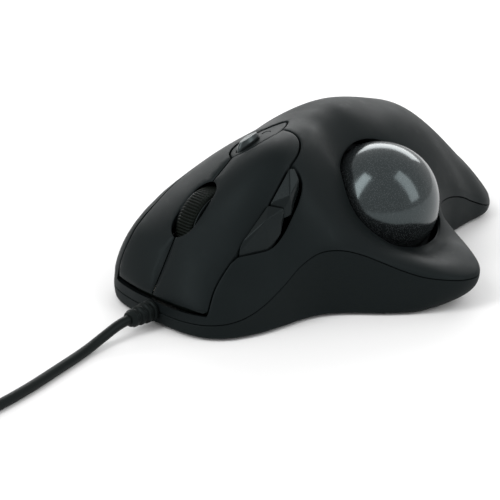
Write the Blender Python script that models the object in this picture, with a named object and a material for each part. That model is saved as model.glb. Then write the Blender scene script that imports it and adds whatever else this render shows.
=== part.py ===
"""Wired thumb trackball mouse, right handed: the ball and the thumb lobe are on -X, the cable leaves at +Y.

Lengths are millimetres in the mouse's own frame: x = 0 is the wheel's middle plane and z = 0 the desk.
make() turns them into metres and moves them so that the origin is under the middle of the mouse.
"""

import math

import bpy
import numpy as np
from mathutils import Vector, geometry

MM = 0.001
CENTRE = np.array([-11.99, -1.07, 0.0])  # the middle of the mouse's box, cable left out

# Shells
WALL = 1.8  # thickness of the moulded skins
GAP = 0.4  # seam between two skins
SHOULDER = 8.0  # how far in from the rim the skin rounds over
BASE_BOTTOM = 0.7
FLOOR_TOP = 2.5
LIP_INSET = 0.38  # top of the front lip, measured in from the rim
KEY_INSET = 0.8  # front edge of the keys, measured in from the rim
KEY_LOWEST = 8.4
PER = 2  # points for each stretch of a drawn curve
LATTICE = 8.0  # spacing of the points inside a skin

# Ball
BALL_R = 17.0
BALL = np.array([-20.5, -4.4, 21.0])
BALL_AXIS = np.array([-0.711, -0.074, 0.699]) / np.linalg.norm([-0.711, -0.074, 0.699])
OPENING_R = 17.9
CUP_INNER_R = 17.4
CUP_OUTER_R = 18.6
PUSH_HOLE_R = 5.5
BEARING_R = 1.25
SENSOR_LOOK = np.array([0.87, 0.0, -0.493])  # from the ball's middle to the sensor

# Wheel
WHEEL = np.array([0.0, 43.3, 21.7])
TYRE_R = 11.0
TYRE_HALF = 2.85
HUB_R = 9.6
HUB_HALF = 3.5
CRADLE_PIVOT = np.array([0.0, 29.4, 21.4])

# Keys
KEY_PIVOT = np.array([0.0, 20.0, 38.0])
POST_Y = 53.0  # where the keys press their switches

# Cable
CABLE_R = 1.4
EXIT = np.array([-0.8, 75.6, 4.4])
COIL = np.array([12.0, 151.5, 0.0])
COIL_MIDDLE_R = 15.5
COIL_HALF = 7.1
COIL_TOP = 11.3
PLUG_HEIGHT = 4.2
PLUG_TURN = math.radians(30)  # where round the coil, from +X, the cable leaves it for the plug

BLACK = (0.012, 0.014, 0.015)
SHARP = math.radians(35)  # edges steeper than this stay sharp

# Rim where the cover meets the base, x, y and height, from the right front corner round by the thumb lobe.
# Numbers 0 and 5 are the front corners, and number 2 is on the middle plane.
RIM = [
    (16.9, 63.8, 4.7), (8, 66.0, 4.6), (0, 66.4, 4.6), (-6.5, 66.4, 4.6), (-12.5, 65.8, 4.6),
    (-18.6, 63.6, 4.8), (-22.8, 59.4, 5.2), (-25.2, 54.4, 6.4), (-26.8, 49, 9), (-27.8, 43, 12.8),
    (-28.6, 37, 17), (-30.4, 31.5, 19.4), (-33.6, 27, 19.6), (-37.4, 23.2, 18.4), (-41.6, 19.8, 16.4),
    (-46, 16, 14), (-50.4, 11.8, 12), (-54.2, 7.2, 10.9), (-56.8, 1.8, 10), (-56.8, -4, 9.5),
    (-53, -9.2, 9.8), (-45.5, -14, 11), (-37, -18, 12.5), (-29.5, -22, 14), (-24.6, -27.5, 14.6),
    (-22.6, -34, 14), (-21.8, -41, 11.8), (-21, -48, 8), (-20.4, -56, 4.4), (-16, -62.4, 3.6),
    (-6.5, -67.4, 3.4), (4, -68.6, 3.4), (14, -66, 3.8), (23, -58, 4.6), (29, -45, 5.6),
    (32, -28, 6.6), (33.2, -8, 7), (32.6, 12, 7), (30.4, 32, 6.6), (27, 48, 5.8), (22.3, 59.1, 5),
]
# Outline of the base near the desk, point for point under RIM.
BOTTOM = [
    (16.6, 63.5), (7.9, 65.7), (0, 66.2), (-6.5, 66.2), (-12.5, 65.7),
    (-18.7, 63.6), (-23.1, 59.5), (-25.7, 54.5), (-27.4, 49.0), (-28.5, 42.9),
    (-29.4, 36.9), (-31.2, 31.4), (-34.3, 26.9), (-38.0, 23.2), (-42.0, 19.6),
    (-45.8, 15.6), (-48.8, 11.4), (-50.0, 6.5), (-48.9, 1.3), (-46.4, -3.0),
    (-42.8, -6.8), (-39.0, -11.2), (-33.6, -15.4), (-27.9, -20.2), (-23.6, -26.6),
    (-21.6, -33.6), (-20.6, -41), (-19.8, -48), (-19.2, -55.4), (-15.2, -61.4),
    (-6.2, -66.4), (4, -67.6), (13.5, -65.2), (22.1, -57.4), (28.0, -44.6),
    (31.0, -28), (32.2, -8), (31.6, 12), (29.4, 31.8), (26.2, 47.7), (21.7, 58.7),
]
# Heights of the skin away from its rim: nose, middle, left flank, lobe, round the ball, hump, tail and
# right flank.
CROWN = [
    (0, 66.2, 14.6), (-12, 65.6, 14.0), (12, 65.2, 16), (0, 60.5, 18.6), (-17, 59, 15.3), (17, 59, 19.4),
    (0, 56.8, 23.0), (0, 50, 29), (0, 42.6, 34.8), (0, 35.2, 39.6), (0, 25, 43), (0, 13.6, 44.4),
    (-17.5, 52.2, 20.7), (-23, 52, 14.8), (-18, 42, 29.6), (-23, 42, 22.5), (-28, 42, 17), (-17, 30.5, 39.5),
    (-23, 30.5, 31.5), (-30, 30, 23), (-6, 18.8, 44.6), (-12, 20.6, 43.7), (-19, 21, 37.5), (-26, 22, 28),
    (-32, 22, 22.5), (-37, 21, 20), (-10, 13, 44), (-17.5, 13, 36.5), (-36, 13, 18.5), (-44, 9, 15.5),
    (-50, 6, 13.8), (-46, -2, 12.6), (-52, -2, 12.4), (-44, -10, 13),
    (-26, 13.1, 24.6), (-16.6, 8.8, 33.7), (-34.3, 6.9, 15.5), (-36.6, -6.1, 11.7), (-31.6, -18.4, 15.5),
    (-11.6, -3.5, 37.4), (-13.9, -16.5, 33.7), (-22.3, -22.7, 24.6),
    (-4, 4, 45.2), (2, 2, 44.8), (-4, -5, 44.6), (0, -14, 43.8), (-5, -20, 40), (-18, -32, 26),
    (-10, -34, 33), (0, -34, 37.8), (8, -30, 38.6), (0, -48, 28.5), (-10, -48, 23.2), (-17, -45, 18.4),
    (0, -60, 17), (-10, -58, 14.4), (-17, -55, 12.4), (10, -50, 27), (14, -60, 16), (22, -48, 20),
    (0, -66, 12),
    (18, 52, 22.8), (24, 50, 20), (20, 38, 27.4), (26, 38, 22), (14, 28, 35), (22, 22, 29.5), (28, 18, 23.5),
    (14, 8, 38.2), (22, 2, 33.4), (29, 0, 26), (16, -14, 38.6), (24, -18, 32.5), (29, -24, 24),
    (16, -34, 33.5), (24, -36, 24),
]

# Edges of the keys and the panel, seen from above.
LEFT_SIDE = [(-18.1, 62.6), (-17.2, 59), (-17.4, 52.2), (-18.0, 42), (-17.7, 37), (-16.8, 30.3)]
LEFT_REAR = [(-16.8, 30.3), (-14.8, 24.4), (-12.3, 21), (-9.4, 19.5), (-6.2, 18.9), (-4.4, 18.95)]
RIGHT_SIDE = [(16.0, 62.9), (15.4, 59), (15.9, 52), (17.0, 42), (16.8, 37), (15.9, 30.3)]
RIGHT_REAR = [(15.9, 30.3), (13.8, 24.2), (11.2, 20.8), (8.6, 19.4), (6.0, 18.9), (4.4, 18.95)]
DPI_BUTTON = (0.0, 28.6)
LAMP = (0.0, 21.2)
PANEL_SIDE = [(3.5, 18.8), (4.3, 22), (4.6, 26.5), (4.0, 30.4), (2.4, 33.0), (0.3, 34.6)]
PANEL_TAIL = [(-3.5, 18.8), (-2.3, 15.9), (0, 13.2), (2.3, 15.9), (3.5, 18.8)]
# One side of the wheel's slot from its rear, on the keys' outside and on their underside.
SLOT_SIDE = [
    (0.2, 42.3), (1.3, 42.6), (2.6, 43.4), (3.6, 44.7), (3.9, 46.5), (3.9, 53.0), (3.4, 54.6), (2.4, 55.8),
    (1.2, 56.6), (0.2, 56.9),
]
SLOT_UNDER = [
    (0.2, 40.8), (1.5, 40.8), (3.0, 40.9), (4.0, 41.8), (4.0, 45.5), (4.0, 53.2), (3.6, 54.9), (2.6, 56.2),
    (1.3, 57.0), (0.2, 57.3),
]
WINDOW = [
    (-18.3, 51.2), (-20.6, 47.2), (-22.4, 43.2), (-23.1, 39.3), (-22.9, 35.4),
    (-22.1, 31.4), (-20.4, 28.5), (-18.6, 27.9), (-16.7, 28.3),
]


def clear_scene():
    for obj in list(bpy.data.objects):
        bpy.data.objects.remove(obj, do_unlink=True)


def plastic(name, colour=BLACK, roughness=0.5, metallic=0.0):
    material = bpy.data.materials.new(name)
    material.use_nodes = True
    shader = material.node_tree.nodes["Principled BSDF"]
    shader.inputs["Base Color"].default_value = (*colour, 1)
    shader.inputs["Roughness"].default_value = roughness
    shader.inputs["Metallic"].default_value = metallic
    material.diffuse_color = (*colour, 1)
    return material


def make(name, points, faces, material, pivot=(0.0, 0.0, 0.0)):
    """An object whose origin is at pivot, with its faces turned outwards."""
    pivot = np.array(pivot, float)
    points = (np.array(points, float) - pivot) * MM
    if volume(points, faces) < 0:
        faces = [tuple(reversed(face)) for face in faces]
    mesh = bpy.data.meshes.new(name)
    mesh.from_pydata(points.tolist(), [], [tuple(map(int, face)) for face in faces])
    mesh.materials.append(material)
    mesh.shade_smooth()
    mesh.set_sharp_from_angle(angle=SHARP)
    obj = bpy.data.objects.new(name, mesh)
    obj.location = (pivot - CENTRE) * MM
    bpy.context.scene.collection.objects.link(obj)
    return obj


def volume(points, faces):
    total = 0.0
    for face in faces:
        for second, third in zip(face[1:], face[2:]):
            total += np.dot(points[face[0]], np.cross(points[second], points[third]))
    return total


# Curves


def catmull(p0, p1, p2, p3, count):
    """Centripetal Catmull-Rom from p1 up to, but not at, p2."""
    t1 = np.linalg.norm(p1 - p0) ** 0.5
    t2 = t1 + np.linalg.norm(p2 - p1) ** 0.5
    t3 = t2 + np.linalg.norm(p3 - p2) ** 0.5
    found = []
    for step in range(count):
        t = t1 + (t2 - t1) * step / count
        a1 = (t1 - t) / t1 * p0 + t / t1 * p1
        a2 = (t2 - t) / (t2 - t1) * p1 + (t - t1) / (t2 - t1) * p2
        a3 = (t3 - t) / (t3 - t2) * p2 + (t - t2) / (t3 - t2) * p3
        b1 = (t2 - t) / t2 * a1 + t / t2 * a2
        b2 = (t3 - t) / (t3 - t1) * a2 + (t - t1) / (t3 - t1) * a3
        found.append((t2 - t) / (t2 - t1) * b1 + (t - t1) / (t2 - t1) * b2)
    return found


def closed_curve(points, per):
    points = np.array(points, float)
    count = len(points)
    found = []
    for i in range(count):
        found += catmull(points[i - 1], points[i], points[(i + 1) % count], points[(i + 2) % count], per)
    return np.array(found)


def open_curve(points, per):
    points = np.array(points, float)
    ends = np.vstack([2 * points[0] - points[1], points, 2 * points[-1] - points[-2]])
    found = []
    for i in range(1, len(ends) - 2):
        found += catmull(ends[i - 1], ends[i], ends[i + 1], ends[i + 2], per)
    found.append(points[-1])
    return np.array(found)


def mirrored(points):
    return [(-x, y) for x, y in points]


def inward(curve):
    """Unit normals in plan of a closed curve that runs anticlockwise, pointing inside."""
    along = np.roll(curve[:, :2], -1, 0) - np.roll(curve[:, :2], 1, 0)
    along /= np.linalg.norm(along, axis=1)[:, None]
    return np.stack([-along[:, 1], along[:, 0]], 1)


def beside(curve, distance):
    """An open plan curve moved to its left by distance."""
    along = np.gradient(curve[:, :2], axis=0)
    along /= np.linalg.norm(along, axis=1)[:, None]
    return curve[:, :2] + distance * np.stack([-along[:, 1], along[:, 0]], 1)


# The skin


def spline_kernel(squared):
    return 0.5 * squared * np.log(np.maximum(squared, 1e-12))


def fit_crown(points):
    """Thin-plate spline through the crown's points."""
    points = np.array(points, float)
    count = len(points)
    squared = ((points[:, None, :2] - points[None, :, :2]) ** 2).sum(2)
    system = np.zeros((count + 3, count + 3))
    system[:count, :count] = spline_kernel(squared)
    system[:count, count] = 1
    system[:count, count + 1 :] = points[:, :2]
    system[count:, :count] = system[:count, count:].T
    return points, np.linalg.solve(system, np.r_[points[:, 2], 0, 0, 0])


CROWN_POINTS, CROWN_WEIGHTS = fit_crown(CROWN)
RIM_FINE = closed_curve(RIM, 6)
RIM_CURVE = closed_curve(RIM, PER)
RIM_INWARD = inward(RIM_FINE)


def crown_height(plan):
    squared = ((plan[:, None] - CROWN_POINTS[None, :, :2]) ** 2).sum(2)
    return spline_kernel(squared) @ CROWN_WEIGHTS[:-3] + CROWN_WEIGHTS[-3] + plan @ CROWN_WEIGHTS[-2:]


def rim_near(plan):
    """How far each plan point is from the rim, and the height of the rim beside it."""
    start = RIM_FINE
    step = np.roll(start, -1, 0) - start
    part = ((plan[:, None] - start[None, :, :2]) * step[:, :2]).sum(2) / (step[:, :2] ** 2).sum(1)
    part = np.clip(part, 0, 1)
    nearest = start[None, :, :2] + part[..., None] * step[:, :2]
    distance = np.sqrt(((plan[:, None] - nearest) ** 2).sum(2))
    weight = np.maximum(distance, 1e-6) ** -4
    height = (weight * (start[None, :, 2] + part * step[:, 2])).sum(1) / weight.sum(1)
    return distance.min(1), height


def skin(plan, depth=0.0):
    """Height of the skin's outside over each plan point, or of the surface this far under it."""
    plan = np.atleast_2d(np.array(plan, float))[:, :2]
    distance, rim = rim_near(plan)
    top = crown_height(plan)
    if depth:
        east = crown_height(plan + (0.5, 0)) - crown_height(plan - (0.5, 0))
        north = crown_height(plan + (0, 0.5)) - crown_height(plan - (0, 0.5))
        top = top - depth * np.sqrt(1 + east**2 + north**2)
    across = np.clip((distance - depth) / SHOULDER, 0, 1)
    return rim + (np.maximum(top, rim + 0.5) - rim) * np.sqrt(1 - (1 - across) ** 2)


def inside(loops, points):
    """Which plan points lie in the region that the loops bound, holes left out."""
    hit = np.zeros(len(points), bool)
    for loop in loops:
        x0, y0 = loop[:, 0], loop[:, 1]
        x1, y1 = np.roll(x0, -1), np.roll(y0, -1)
        px, py = points[:, 0, None], points[:, 1, None]
        crosses = (y0 > py) != (y1 > py)
        at = x0 + (py - y0) * (x1 - x0) / np.where(y1 == y0, 1e-9, y1 - y0)
        hit ^= (crosses & (px < at)).sum(1) % 2 == 1
    return hit


def clearance(loops, points):
    found = np.full(len(points), np.inf)
    for loop in loops:
        step = np.roll(loop, -1, 0) - loop
        part = ((points[:, None] - loop) * step).sum(2) / np.maximum((step**2).sum(1), 1e-9)
        nearest = loop + np.clip(part, 0, 1)[..., None] * step
        found = np.minimum(found, np.sqrt(((points[:, None] - nearest) ** 2).sum(2)).min(1))
    return found


def inner_points(loops, spacing, rings=()):
    """Points to shape a skin with: rows beside the rim, then a lattice."""
    kept = np.zeros((0, 2))
    for inset in rings:
        row = RIM_CURVE[:, :2] + inset * inward(RIM_CURVE)
        row = row[inside(loops, row)]
        kept = np.vstack([kept, row[clearance(loops, row) > 0.35 * inset + 0.2]])
    low, high = loops[0].min(0), loops[0].max(0)
    rows = []
    for row, y in enumerate(np.arange(low[1], high[1], spacing * 0.866)):
        for x in np.arange(low[0] + spacing / 2 * (row % 2), high[0], spacing):
            rows.append((x, y))
    grid = np.array(rows)
    grid = grid[inside(loops, grid)]
    grid = grid[clearance(loops, grid) > 0.45 * spacing]
    if len(kept):
        apart = np.sqrt(((grid[:, None] - kept) ** 2).sum(2)).min(1)
        grid = grid[apart > 0.5 * spacing]
    return np.vstack([kept, grid])


def triangles(loops, more):
    """Triangles over the plan region that the loops bound, through the points of more."""
    points = np.vstack([*loops, more])
    edges = []
    first = 0
    for loop in loops:
        edges += [(first + i, first + (i + 1) % len(loop)) for i in range(len(loop))]
        first += len(loop)
    made = geometry.delaunay_2d_cdt([Vector(p) for p in points.tolist()], edges, [], 0, 1e-7)
    origin = [source[0] for source in made[3]]
    faces = np.array([[origin[i] for i in face] for face in made[2]])
    return faces[inside(loops, points[faces].mean(1))]


def shell(name, outer, inner, outer_more, inner_more, material, pivot=(0.0, 0.0, 0.0)):
    """A closed skin from 3D loops, outer and inner ones in pairs, and the 3D points between them."""
    top_faces = triangles([loop[:, :2] for loop in outer], outer_more[:, :2])
    low_faces = triangles([loop[:, :2] for loop in inner], inner_more[:, :2])
    count = sum(len(loop) for loop in outer) + len(outer_more)
    faces = top_faces.tolist() + (low_faces[:, ::-1] + count).tolist()
    first = 0
    for loop in outer:
        size = len(loop)
        for i in range(size):
            a, b = first + i, first + (i + 1) % size
            faces.append((b, a, a + count))
            faces.append((b, a + count, b + count))
        first += size
    points = np.vstack([*outer, outer_more, *inner, inner_more])
    return make(name, points, turned_alike(faces), material, pivot)


def turned_alike(faces):
    """Faces flipped where needed so that neighbours run the same way round."""
    faces = [list(face) for face in faces]
    sides = {}
    for number, face in enumerate(faces):
        for a, b in zip(face, face[1:] + face[:1]):
            sides.setdefault(frozenset((a, b)), []).append((number, (a, b)))
    done = {0}
    queue = [0]
    while queue:
        number = queue.pop()
        face = faces[number]
        for a, b in zip(face, face[1:] + face[:1]):
            for other, _ in sides[frozenset((a, b))]:
                if other in done:
                    continue
                theirs = faces[other]
                if (a, b) in list(zip(theirs, theirs[1:] + theirs[:1])):
                    theirs.reverse()
                done.add(other)
                queue.append(other)
    return faces


def lifted(plan, depth=0.0, lowest=-99.0):
    plan = np.array(plan, float)[:, :2]
    return np.column_stack([plan, np.maximum(skin(plan, depth), lowest)])


# Round and boxed pieces


def frame_of(axis):
    axis = np.array(axis, float) / np.linalg.norm(axis)
    helper = np.array([0.0, 0.0, 1.0]) if abs(axis[2]) < 0.9 else np.array([1.0, 0.0, 0.0])
    side = np.cross(helper, axis)
    side /= np.linalg.norm(side)
    return side, np.cross(axis, side), axis


def lathe(name, profile, origin, axis, material, sides=24, closed=False, pivot=(0.0, 0.0, 0.0)):
    """profile is (radius, height) pairs turned round axis; closed joins its last pair to its first."""
    side, up, along = frame_of(axis)
    origin = np.array(origin, float)
    points = []
    rows = []
    for radius, height in profile:
        count = 1 if radius == 0 else sides
        rows.append(list(range(len(points), len(points) + count)))
        for i in range(count):
            angle = 2 * math.pi * i / sides
            points.append(origin + height * along + radius * (math.cos(angle) * side + math.sin(angle) * up))
    faces = []
    pairs = list(zip(rows, rows[1:])) + ([(rows[-1], rows[0])] if closed else [])
    for low, high in pairs:
        for i in range(sides):
            j = (i + 1) % sides
            if len(low) == 1:
                faces.append((low[0], high[j], high[i]))
            elif len(high) == 1:
                faces.append((low[i], low[j], high[0]))
            else:
                faces.append((low[i], low[j], high[j], high[i]))
    return make(name, points, faces, material, pivot)


def rod(name, start, end, radius, material, sides=12, pivot=None):
    """A round bar, whose origin is at its start where no pivot is given."""
    start = np.array(start, float)
    end = np.array(end, float)
    length = np.linalg.norm(end - start)
    profile = [(0, 0), (radius, 0), (radius, length), (0, length)]
    pivot = start if pivot is None else pivot
    return lathe(name, profile, start, end - start, material, sides, pivot=pivot)


def block(name, middle, size, material, axes=None, pivot=(0.0, 0.0, 0.0)):
    axes = np.eye(3) if axes is None else np.array(axes)
    corners = []
    for z in (-0.5, 0.5):
        for x, y in ((-0.5, -0.5), (0.5, -0.5), (0.5, 0.5), (-0.5, 0.5)):
            corners.append(np.array(middle) + (np.array([x, y, z]) * size) @ axes)
    faces = [(3, 2, 1, 0), (4, 5, 6, 7), (0, 1, 5, 4), (1, 2, 6, 5), (2, 3, 7, 6), (3, 0, 4, 7)]
    return make(name, corners, faces, material, pivot)


def prism(name, outline, low, high, material, pivot=(0.0, 0.0, 0.0)):
    """A plan outline between two heights."""
    outline = np.array(outline, float)
    count = len(outline)
    points = np.vstack([np.column_stack([outline, np.full(count, z)]) for z in (low, high)])
    faces = [tuple(range(count))[::-1], tuple(range(count, 2 * count))]
    for i in range(count):
        j = (i + 1) % count
        faces.append((i, j, j + count, i + count))
    return make(name, points, faces, material, pivot)


def combine(target, tool, operation="DIFFERENCE"):
    modifier = target.modifiers.new(tool.name, "BOOLEAN")
    modifier.operation = operation
    modifier.solver = "EXACT"
    modifier.object = tool
    tool.hide_render = True
    tool.display_type = "WIRE"


# Sub-parts


def ball_opening(radius, depth, count=36):
    """Where a cylinder round the ball's axis meets the skin, or the surface this far under it."""
    side, up, along = frame_of(BALL_AXIS)
    heights = np.linspace(-6, 16, 221)
    found = []
    for i in range(count):
        angle = 2 * math.pi * i / count
        out = BALL + radius * (math.cos(angle) * side + math.sin(angle) * up)
        ray = out + heights[:, None] * along
        over = ray[:, 2] - skin(ray, depth)
        first = np.nonzero((over[:-1] <= 0) & (over[1:] > 0))[0][0]
        part = over[first] / (over[first] - over[first + 1])
        found.append(ray[first] + part * (ray[first + 1] - ray[first]))
    return np.array(found)


def kept_in(plan, least):
    """Plan points moved in where they are nearer the rim than least."""
    moved = []
    for point in plan:
        offsets = point - RIM_FINE[:, :2]
        apart = np.linalg.norm(offsets, axis=1)
        near = int(apart.argmin())
        if apart[near] < least:
            point = RIM_FINE[near, :2] + least * RIM_INWARD[near]
        moved.append(point)
    return np.array(moved)


def front_edge(inset):
    """The stretch of rim along the front of both keys, right to left, moved in."""
    moved = RIM_CURVE[:, :2] + inset * inward(RIM_CURVE)
    return moved[: 5 * PER + 1]


def deck_hole(front_inset, corner_drop=0.0):
    """The cover's opening for the keys, the panel and the thumb keys, anticlockwise from the front right."""
    front = front_edge(front_inset)
    left = beside(open_curve(LEFT_SIDE[:3], PER), -GAP)[:-1]
    rear = beside(open_curve(LEFT_REAR, PER), -GAP)[1:-1]
    tail = beside(open_curve(PANEL_TAIL, PER), -GAP)
    right_rear = beside(open_curve(RIGHT_REAR, PER), GAP)[::-1][1:-1]
    right = beside(open_curve(RIGHT_SIDE, PER), GAP)[::-1]
    left[0, 1] -= corner_drop
    right[-1, 1] -= corner_drop
    return np.vstack([front, left, open_curve(WINDOW, 1), rear, tail, right_rear, right])


def top_cover(material):
    rim = RIM_CURVE
    inset = np.column_stack([rim[:, :2] + WALL * inward(rim), rim[:, 2]])
    hole_top = deck_hole(LIP_INSET)
    hole_low = kept_in(deck_hole(WALL + 0.4, 1.6), WALL + 0.4)
    low_z = skin(hole_low, WALL)
    front = 5 * PER + 1
    top_z = skin(hole_top)
    top_z[:front] = top_z[:front].min()
    low_z[: front + 1] = top_z[0] - 0.5
    low_z[-1] = top_z[0] - 0.5
    outer = [rim, np.column_stack([hole_top, top_z]), ball_opening(OPENING_R, 0)]
    inner = [inset, np.column_stack([hole_low, low_z]), ball_opening(OPENING_R, WALL)]
    plan_outer = [loop[:, :2] for loop in outer]
    plan_inner = [loop[:, :2] for loop in inner]
    outer_more = lifted(inner_points(plan_outer, LATTICE, (0.9, 2.8, 5.4)))
    inner_more = lifted(inner_points(plan_inner, LATTICE, (2.8, 5.4)), WALL)
    return shell("top_cover", outer, inner, outer_more, inner_more, material)


def base_shell(material):
    rim = RIM_CURVE
    bottom = closed_curve(BOTTOM, PER)
    normal = inward(np.column_stack([bottom, bottom[:, 0]]))
    top = rim[:, 2] - 0.35
    levels = [np.column_stack([bottom + 0.6 * normal, np.full(len(rim), BASE_BOTTOM)])]
    for share in (0.0, 0.35, 0.7, 1.0):
        turn = share * math.pi / 2
        plan = bottom + (rim[:, :2] - bottom) * math.sin(turn)
        height = BASE_BOTTOM + 0.5 + (top - BASE_BOTTOM - 0.5) * (1 - math.cos(turn))
        levels.append(np.column_stack([plan, height]))
    walls = []
    for level in levels[:1:-1]:
        height = np.maximum(level[:, 2], FLOOR_TOP + 0.3)
        walls.append(np.column_stack([level[:, :2] + WALL * inward(rim), height]))
    floor_edge = np.column_stack([bottom + (WALL + 0.3) * normal, np.full(len(rim), FLOOR_TOP)])
    rows = levels + walls + [floor_edge]
    count = len(rim)
    points = np.vstack(rows)
    faces = []
    for row in range(len(rows) - 1):
        for i in range(count):
            a, b = row * count + i, row * count + (i + 1) % count
            faces.append((a, b, b + count, a + count))
    holes = floor_holes()
    first = len(points)
    under = triangles([rows[0][:, :2], *holes], np.zeros((0, 2)))
    over = triangles([rows[-1][:, :2], *holes], np.zeros((0, 2)))
    hole_points = np.vstack(holes)
    extra = len(hole_points)
    points = np.vstack([
        points,
        np.column_stack([hole_points, np.full(extra, BASE_BOTTOM)]),
        np.column_stack([hole_points, np.full(extra, FLOOR_TOP)]),
    ])
    last_row = (len(rows) - 1) * count
    for face in under:
        faces.append([i if i < count else first + i - count for i in face])
    for face in over:
        faces.append([last_row + i if i < count else first + extra + i - count for i in face])
    start = first
    for hole in holes:
        for i in range(len(hole)):
            a, b = start + i, start + (i + 1) % len(hole)
            faces.append((a, b, b + extra, a + extra))
        start += len(hole)
    return make("base_shell", points, turned_alike(faces), material)


SCREWS = [(-20.0, 50.0), (21.0, 46.0), (20.0, -42.0), (-44.0, 1.5)]
FEET = [(-6.0, 57.0, 12.0), (-40.0, 9.0, 6.5), (24.0, -14.0, 6.5), (-2.0, -58.0, 12.0)]


def oval(middle, half_x, half_y, count=16):
    turns = 2 * math.pi * np.arange(count) / count
    return np.array(middle) + np.column_stack([half_x * np.cos(turns), half_y * np.sin(turns)])


def floor_holes():
    return [oval(BALL[:2], PUSH_HOLE_R, PUSH_HOLE_R, 20)] + [oval(screw, 1.7, 1.7, 12) for screw in SCREWS]


def key(name, side, rear, mirror, material):
    """One main key: front edge, outer side, rear, the panel's side, the seam and the wheel slot's side."""
    flip = -1.0 if mirror else 1.0
    edge = front_edge(KEY_INSET)
    half = edge[2 * PER :] if mirror else edge[: 2 * PER + 1][::-1]
    half = np.vstack([[flip * GAP / 2, half[0, 1]], half[1:-1]])
    panel = mirrored(PANEL_SIDE) if mirror else PANEL_SIDE
    slot = open_curve(mirrored(SLOT_SIDE) if mirror else SLOT_SIDE, 1)
    slot_under = open_curve(mirrored(SLOT_UNDER) if mirror else SLOT_UNDER, 1)
    outline = np.vstack([
        half,
        open_curve(side, PER)[:-1],
        open_curve(rear, PER),
        beside(open_curve(panel, PER), flip * -GAP)[1:-1],
        [(flip * GAP / 2, 35.2)],
        slot,
    ])
    loops = [outline]
    more = inner_points(loops, LATTICE, (2.8, 5.4))
    under = np.vstack([outline[: -len(slot)], slot_under])
    top = lifted(outline)
    low = lifted(under, WALL, KEY_LOWEST)
    return shell(name, [top], [low], lifted(more), lifted(more, WALL, KEY_LOWEST), material, KEY_PIVOT)


def centre_panel(material):
    side = open_curve(PANEL_SIDE, PER)
    tail = open_curve(PANEL_TAIL, PER)
    outline = np.vstack([side[:-1], [(0, 34.7)], side[::-1][1:] * (-1, 1), tail[1:-1]])
    holes = [oval(DPI_BUTTON, 2.1, 4.1), oval(LAMP, 1.3, 1.3)]
    top = [lifted(outline, 0.3)] + [lifted(hole, 0.3) for hole in holes]
    low = [lifted(outline, WALL)] + [lifted(hole, WALL) for hole in holes]
    none = np.zeros((0, 3))
    return shell("centre_panel", top, low, none, none, material)


def small_pieces_of_panel(gloss, lamp, board):
    pill = oval(DPI_BUTTON, 1.75, 3.75)
    stem = oval(DPI_BUTTON, 1.0, 1.0)
    rows = [lifted(oval(DPI_BUTTON, 1.15, 3.1), -1.15), lifted(pill, -0.5), lifted(pill, 2.6)]
    rows.append(np.column_stack([stem, np.full(len(stem), 38.3)]))
    rows.append(np.column_stack([stem, np.full(len(stem), 36.4)]))
    stack("dpi_button", rows, gloss, (*DPI_BUTTON, 41))
    lens = oval(LAMP, 0.95, 0.95)
    stack("indicator_lamp", [lifted(lens, 0.25), lifted(lens, 3.4)], lamp)
    block("panel_board", (0, 26.0, 31.4), (9, 17, 1.2), board)


def stack(name, rows, material, pivot=(0.0, 0.0, 0.0)):
    """Loops of equal count joined from the first to the last, with both ends closed."""
    count = len(rows[0])
    faces = [tuple(range(count)), tuple(range((len(rows) - 1) * count, len(rows) * count))[::-1]]
    for row in range(len(rows) - 1):
        for i in range(count):
            a, b = row * count + i, row * count + (i + 1) % count
            faces.append((a, a + count, b + count, b))
    return make(name, np.vstack(rows), faces, material, pivot)


# Thumb keys. Each is a faceted cap over a plan outline, with upright sides.
BACK_KEY = [
    (-17.5, 30.4, 40.0), (-18.3, 29.2, 39.6), (-20.4, 29.7, 37.2), (-22.2, 34.6, 31.9), (-21.6, 36.6, 31.4),
    (-18.4, 38.9, 32.4),
]
BACK_KEY_TOP = (-21.2, 34.1, 34.2)
FORWARD_KEY = [
    (-18.5, 39.9, 32.2), (-22.0, 37.2, 31.6), (-22.6, 39.0, 28.0), (-21.9, 43.0, 22.9), (-18.1, 50.6, 21.6),
    (-17.9, 49.6, 23.9),
]
FORWARD_KEY_RIDGE = (-20.5, 42.8, 29.1)


def cap(name, rim, peak, drop, material, pivot):
    """Facets from a peak down to the rim, then upright sides of the given drop."""
    rim = np.array(rim, float)
    count = len(rim)
    low = rim - (0, 0, drop)
    points = np.vstack([rim, low, [peak], [low.mean(0)]])
    faces = []
    for i in range(count):
        j = (i + 1) % count
        faces.append((i, j, 2 * count))
        faces.append((j, i, i + count))
        faces.append((j, i + count, j + count))
        faces.append((j + count, i + count, 2 * count + 1))
    return make(name, points, turned_alike(faces), material, pivot)


def flank_axes():
    """Along the flank, up it and out of it."""
    out = np.array([-0.84, 0.0, 0.543])
    along = np.array([0.0, 0.81, -0.586])
    along -= out * np.dot(along, out)
    along /= np.linalg.norm(along)
    return np.array([along, np.cross(out, along), out])


def thumb_keys(gloss, dark, switch, plunger):
    cap("back_key", BACK_KEY, BACK_KEY_TOP, 3.2, gloss, BACK_KEY_TOP)
    cap("forward_key", FORWARD_KEY, FORWARD_KEY_RIDGE, 3.2, gloss, FORWARD_KEY_RIDGE)
    axes = flank_axes()
    middle = np.array([-20.6, 38.6, 28.2])
    block("thumb_bracket", middle - axes[2] * 10.8, (22, 7, 1.4), dark, axes)
    for name, shift in (("back", -4.6), ("forward", 4.8)):
        at = middle + axes[0] * shift
        block(f"switch_{name}", at - axes[2] * 8.4, (6.0, 4.0, 2.8), switch, axes)
        rod(f"plunger_{name}", at - axes[2] * 6.2, at - axes[2] * 4.6, 0.8, plunger)


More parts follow.
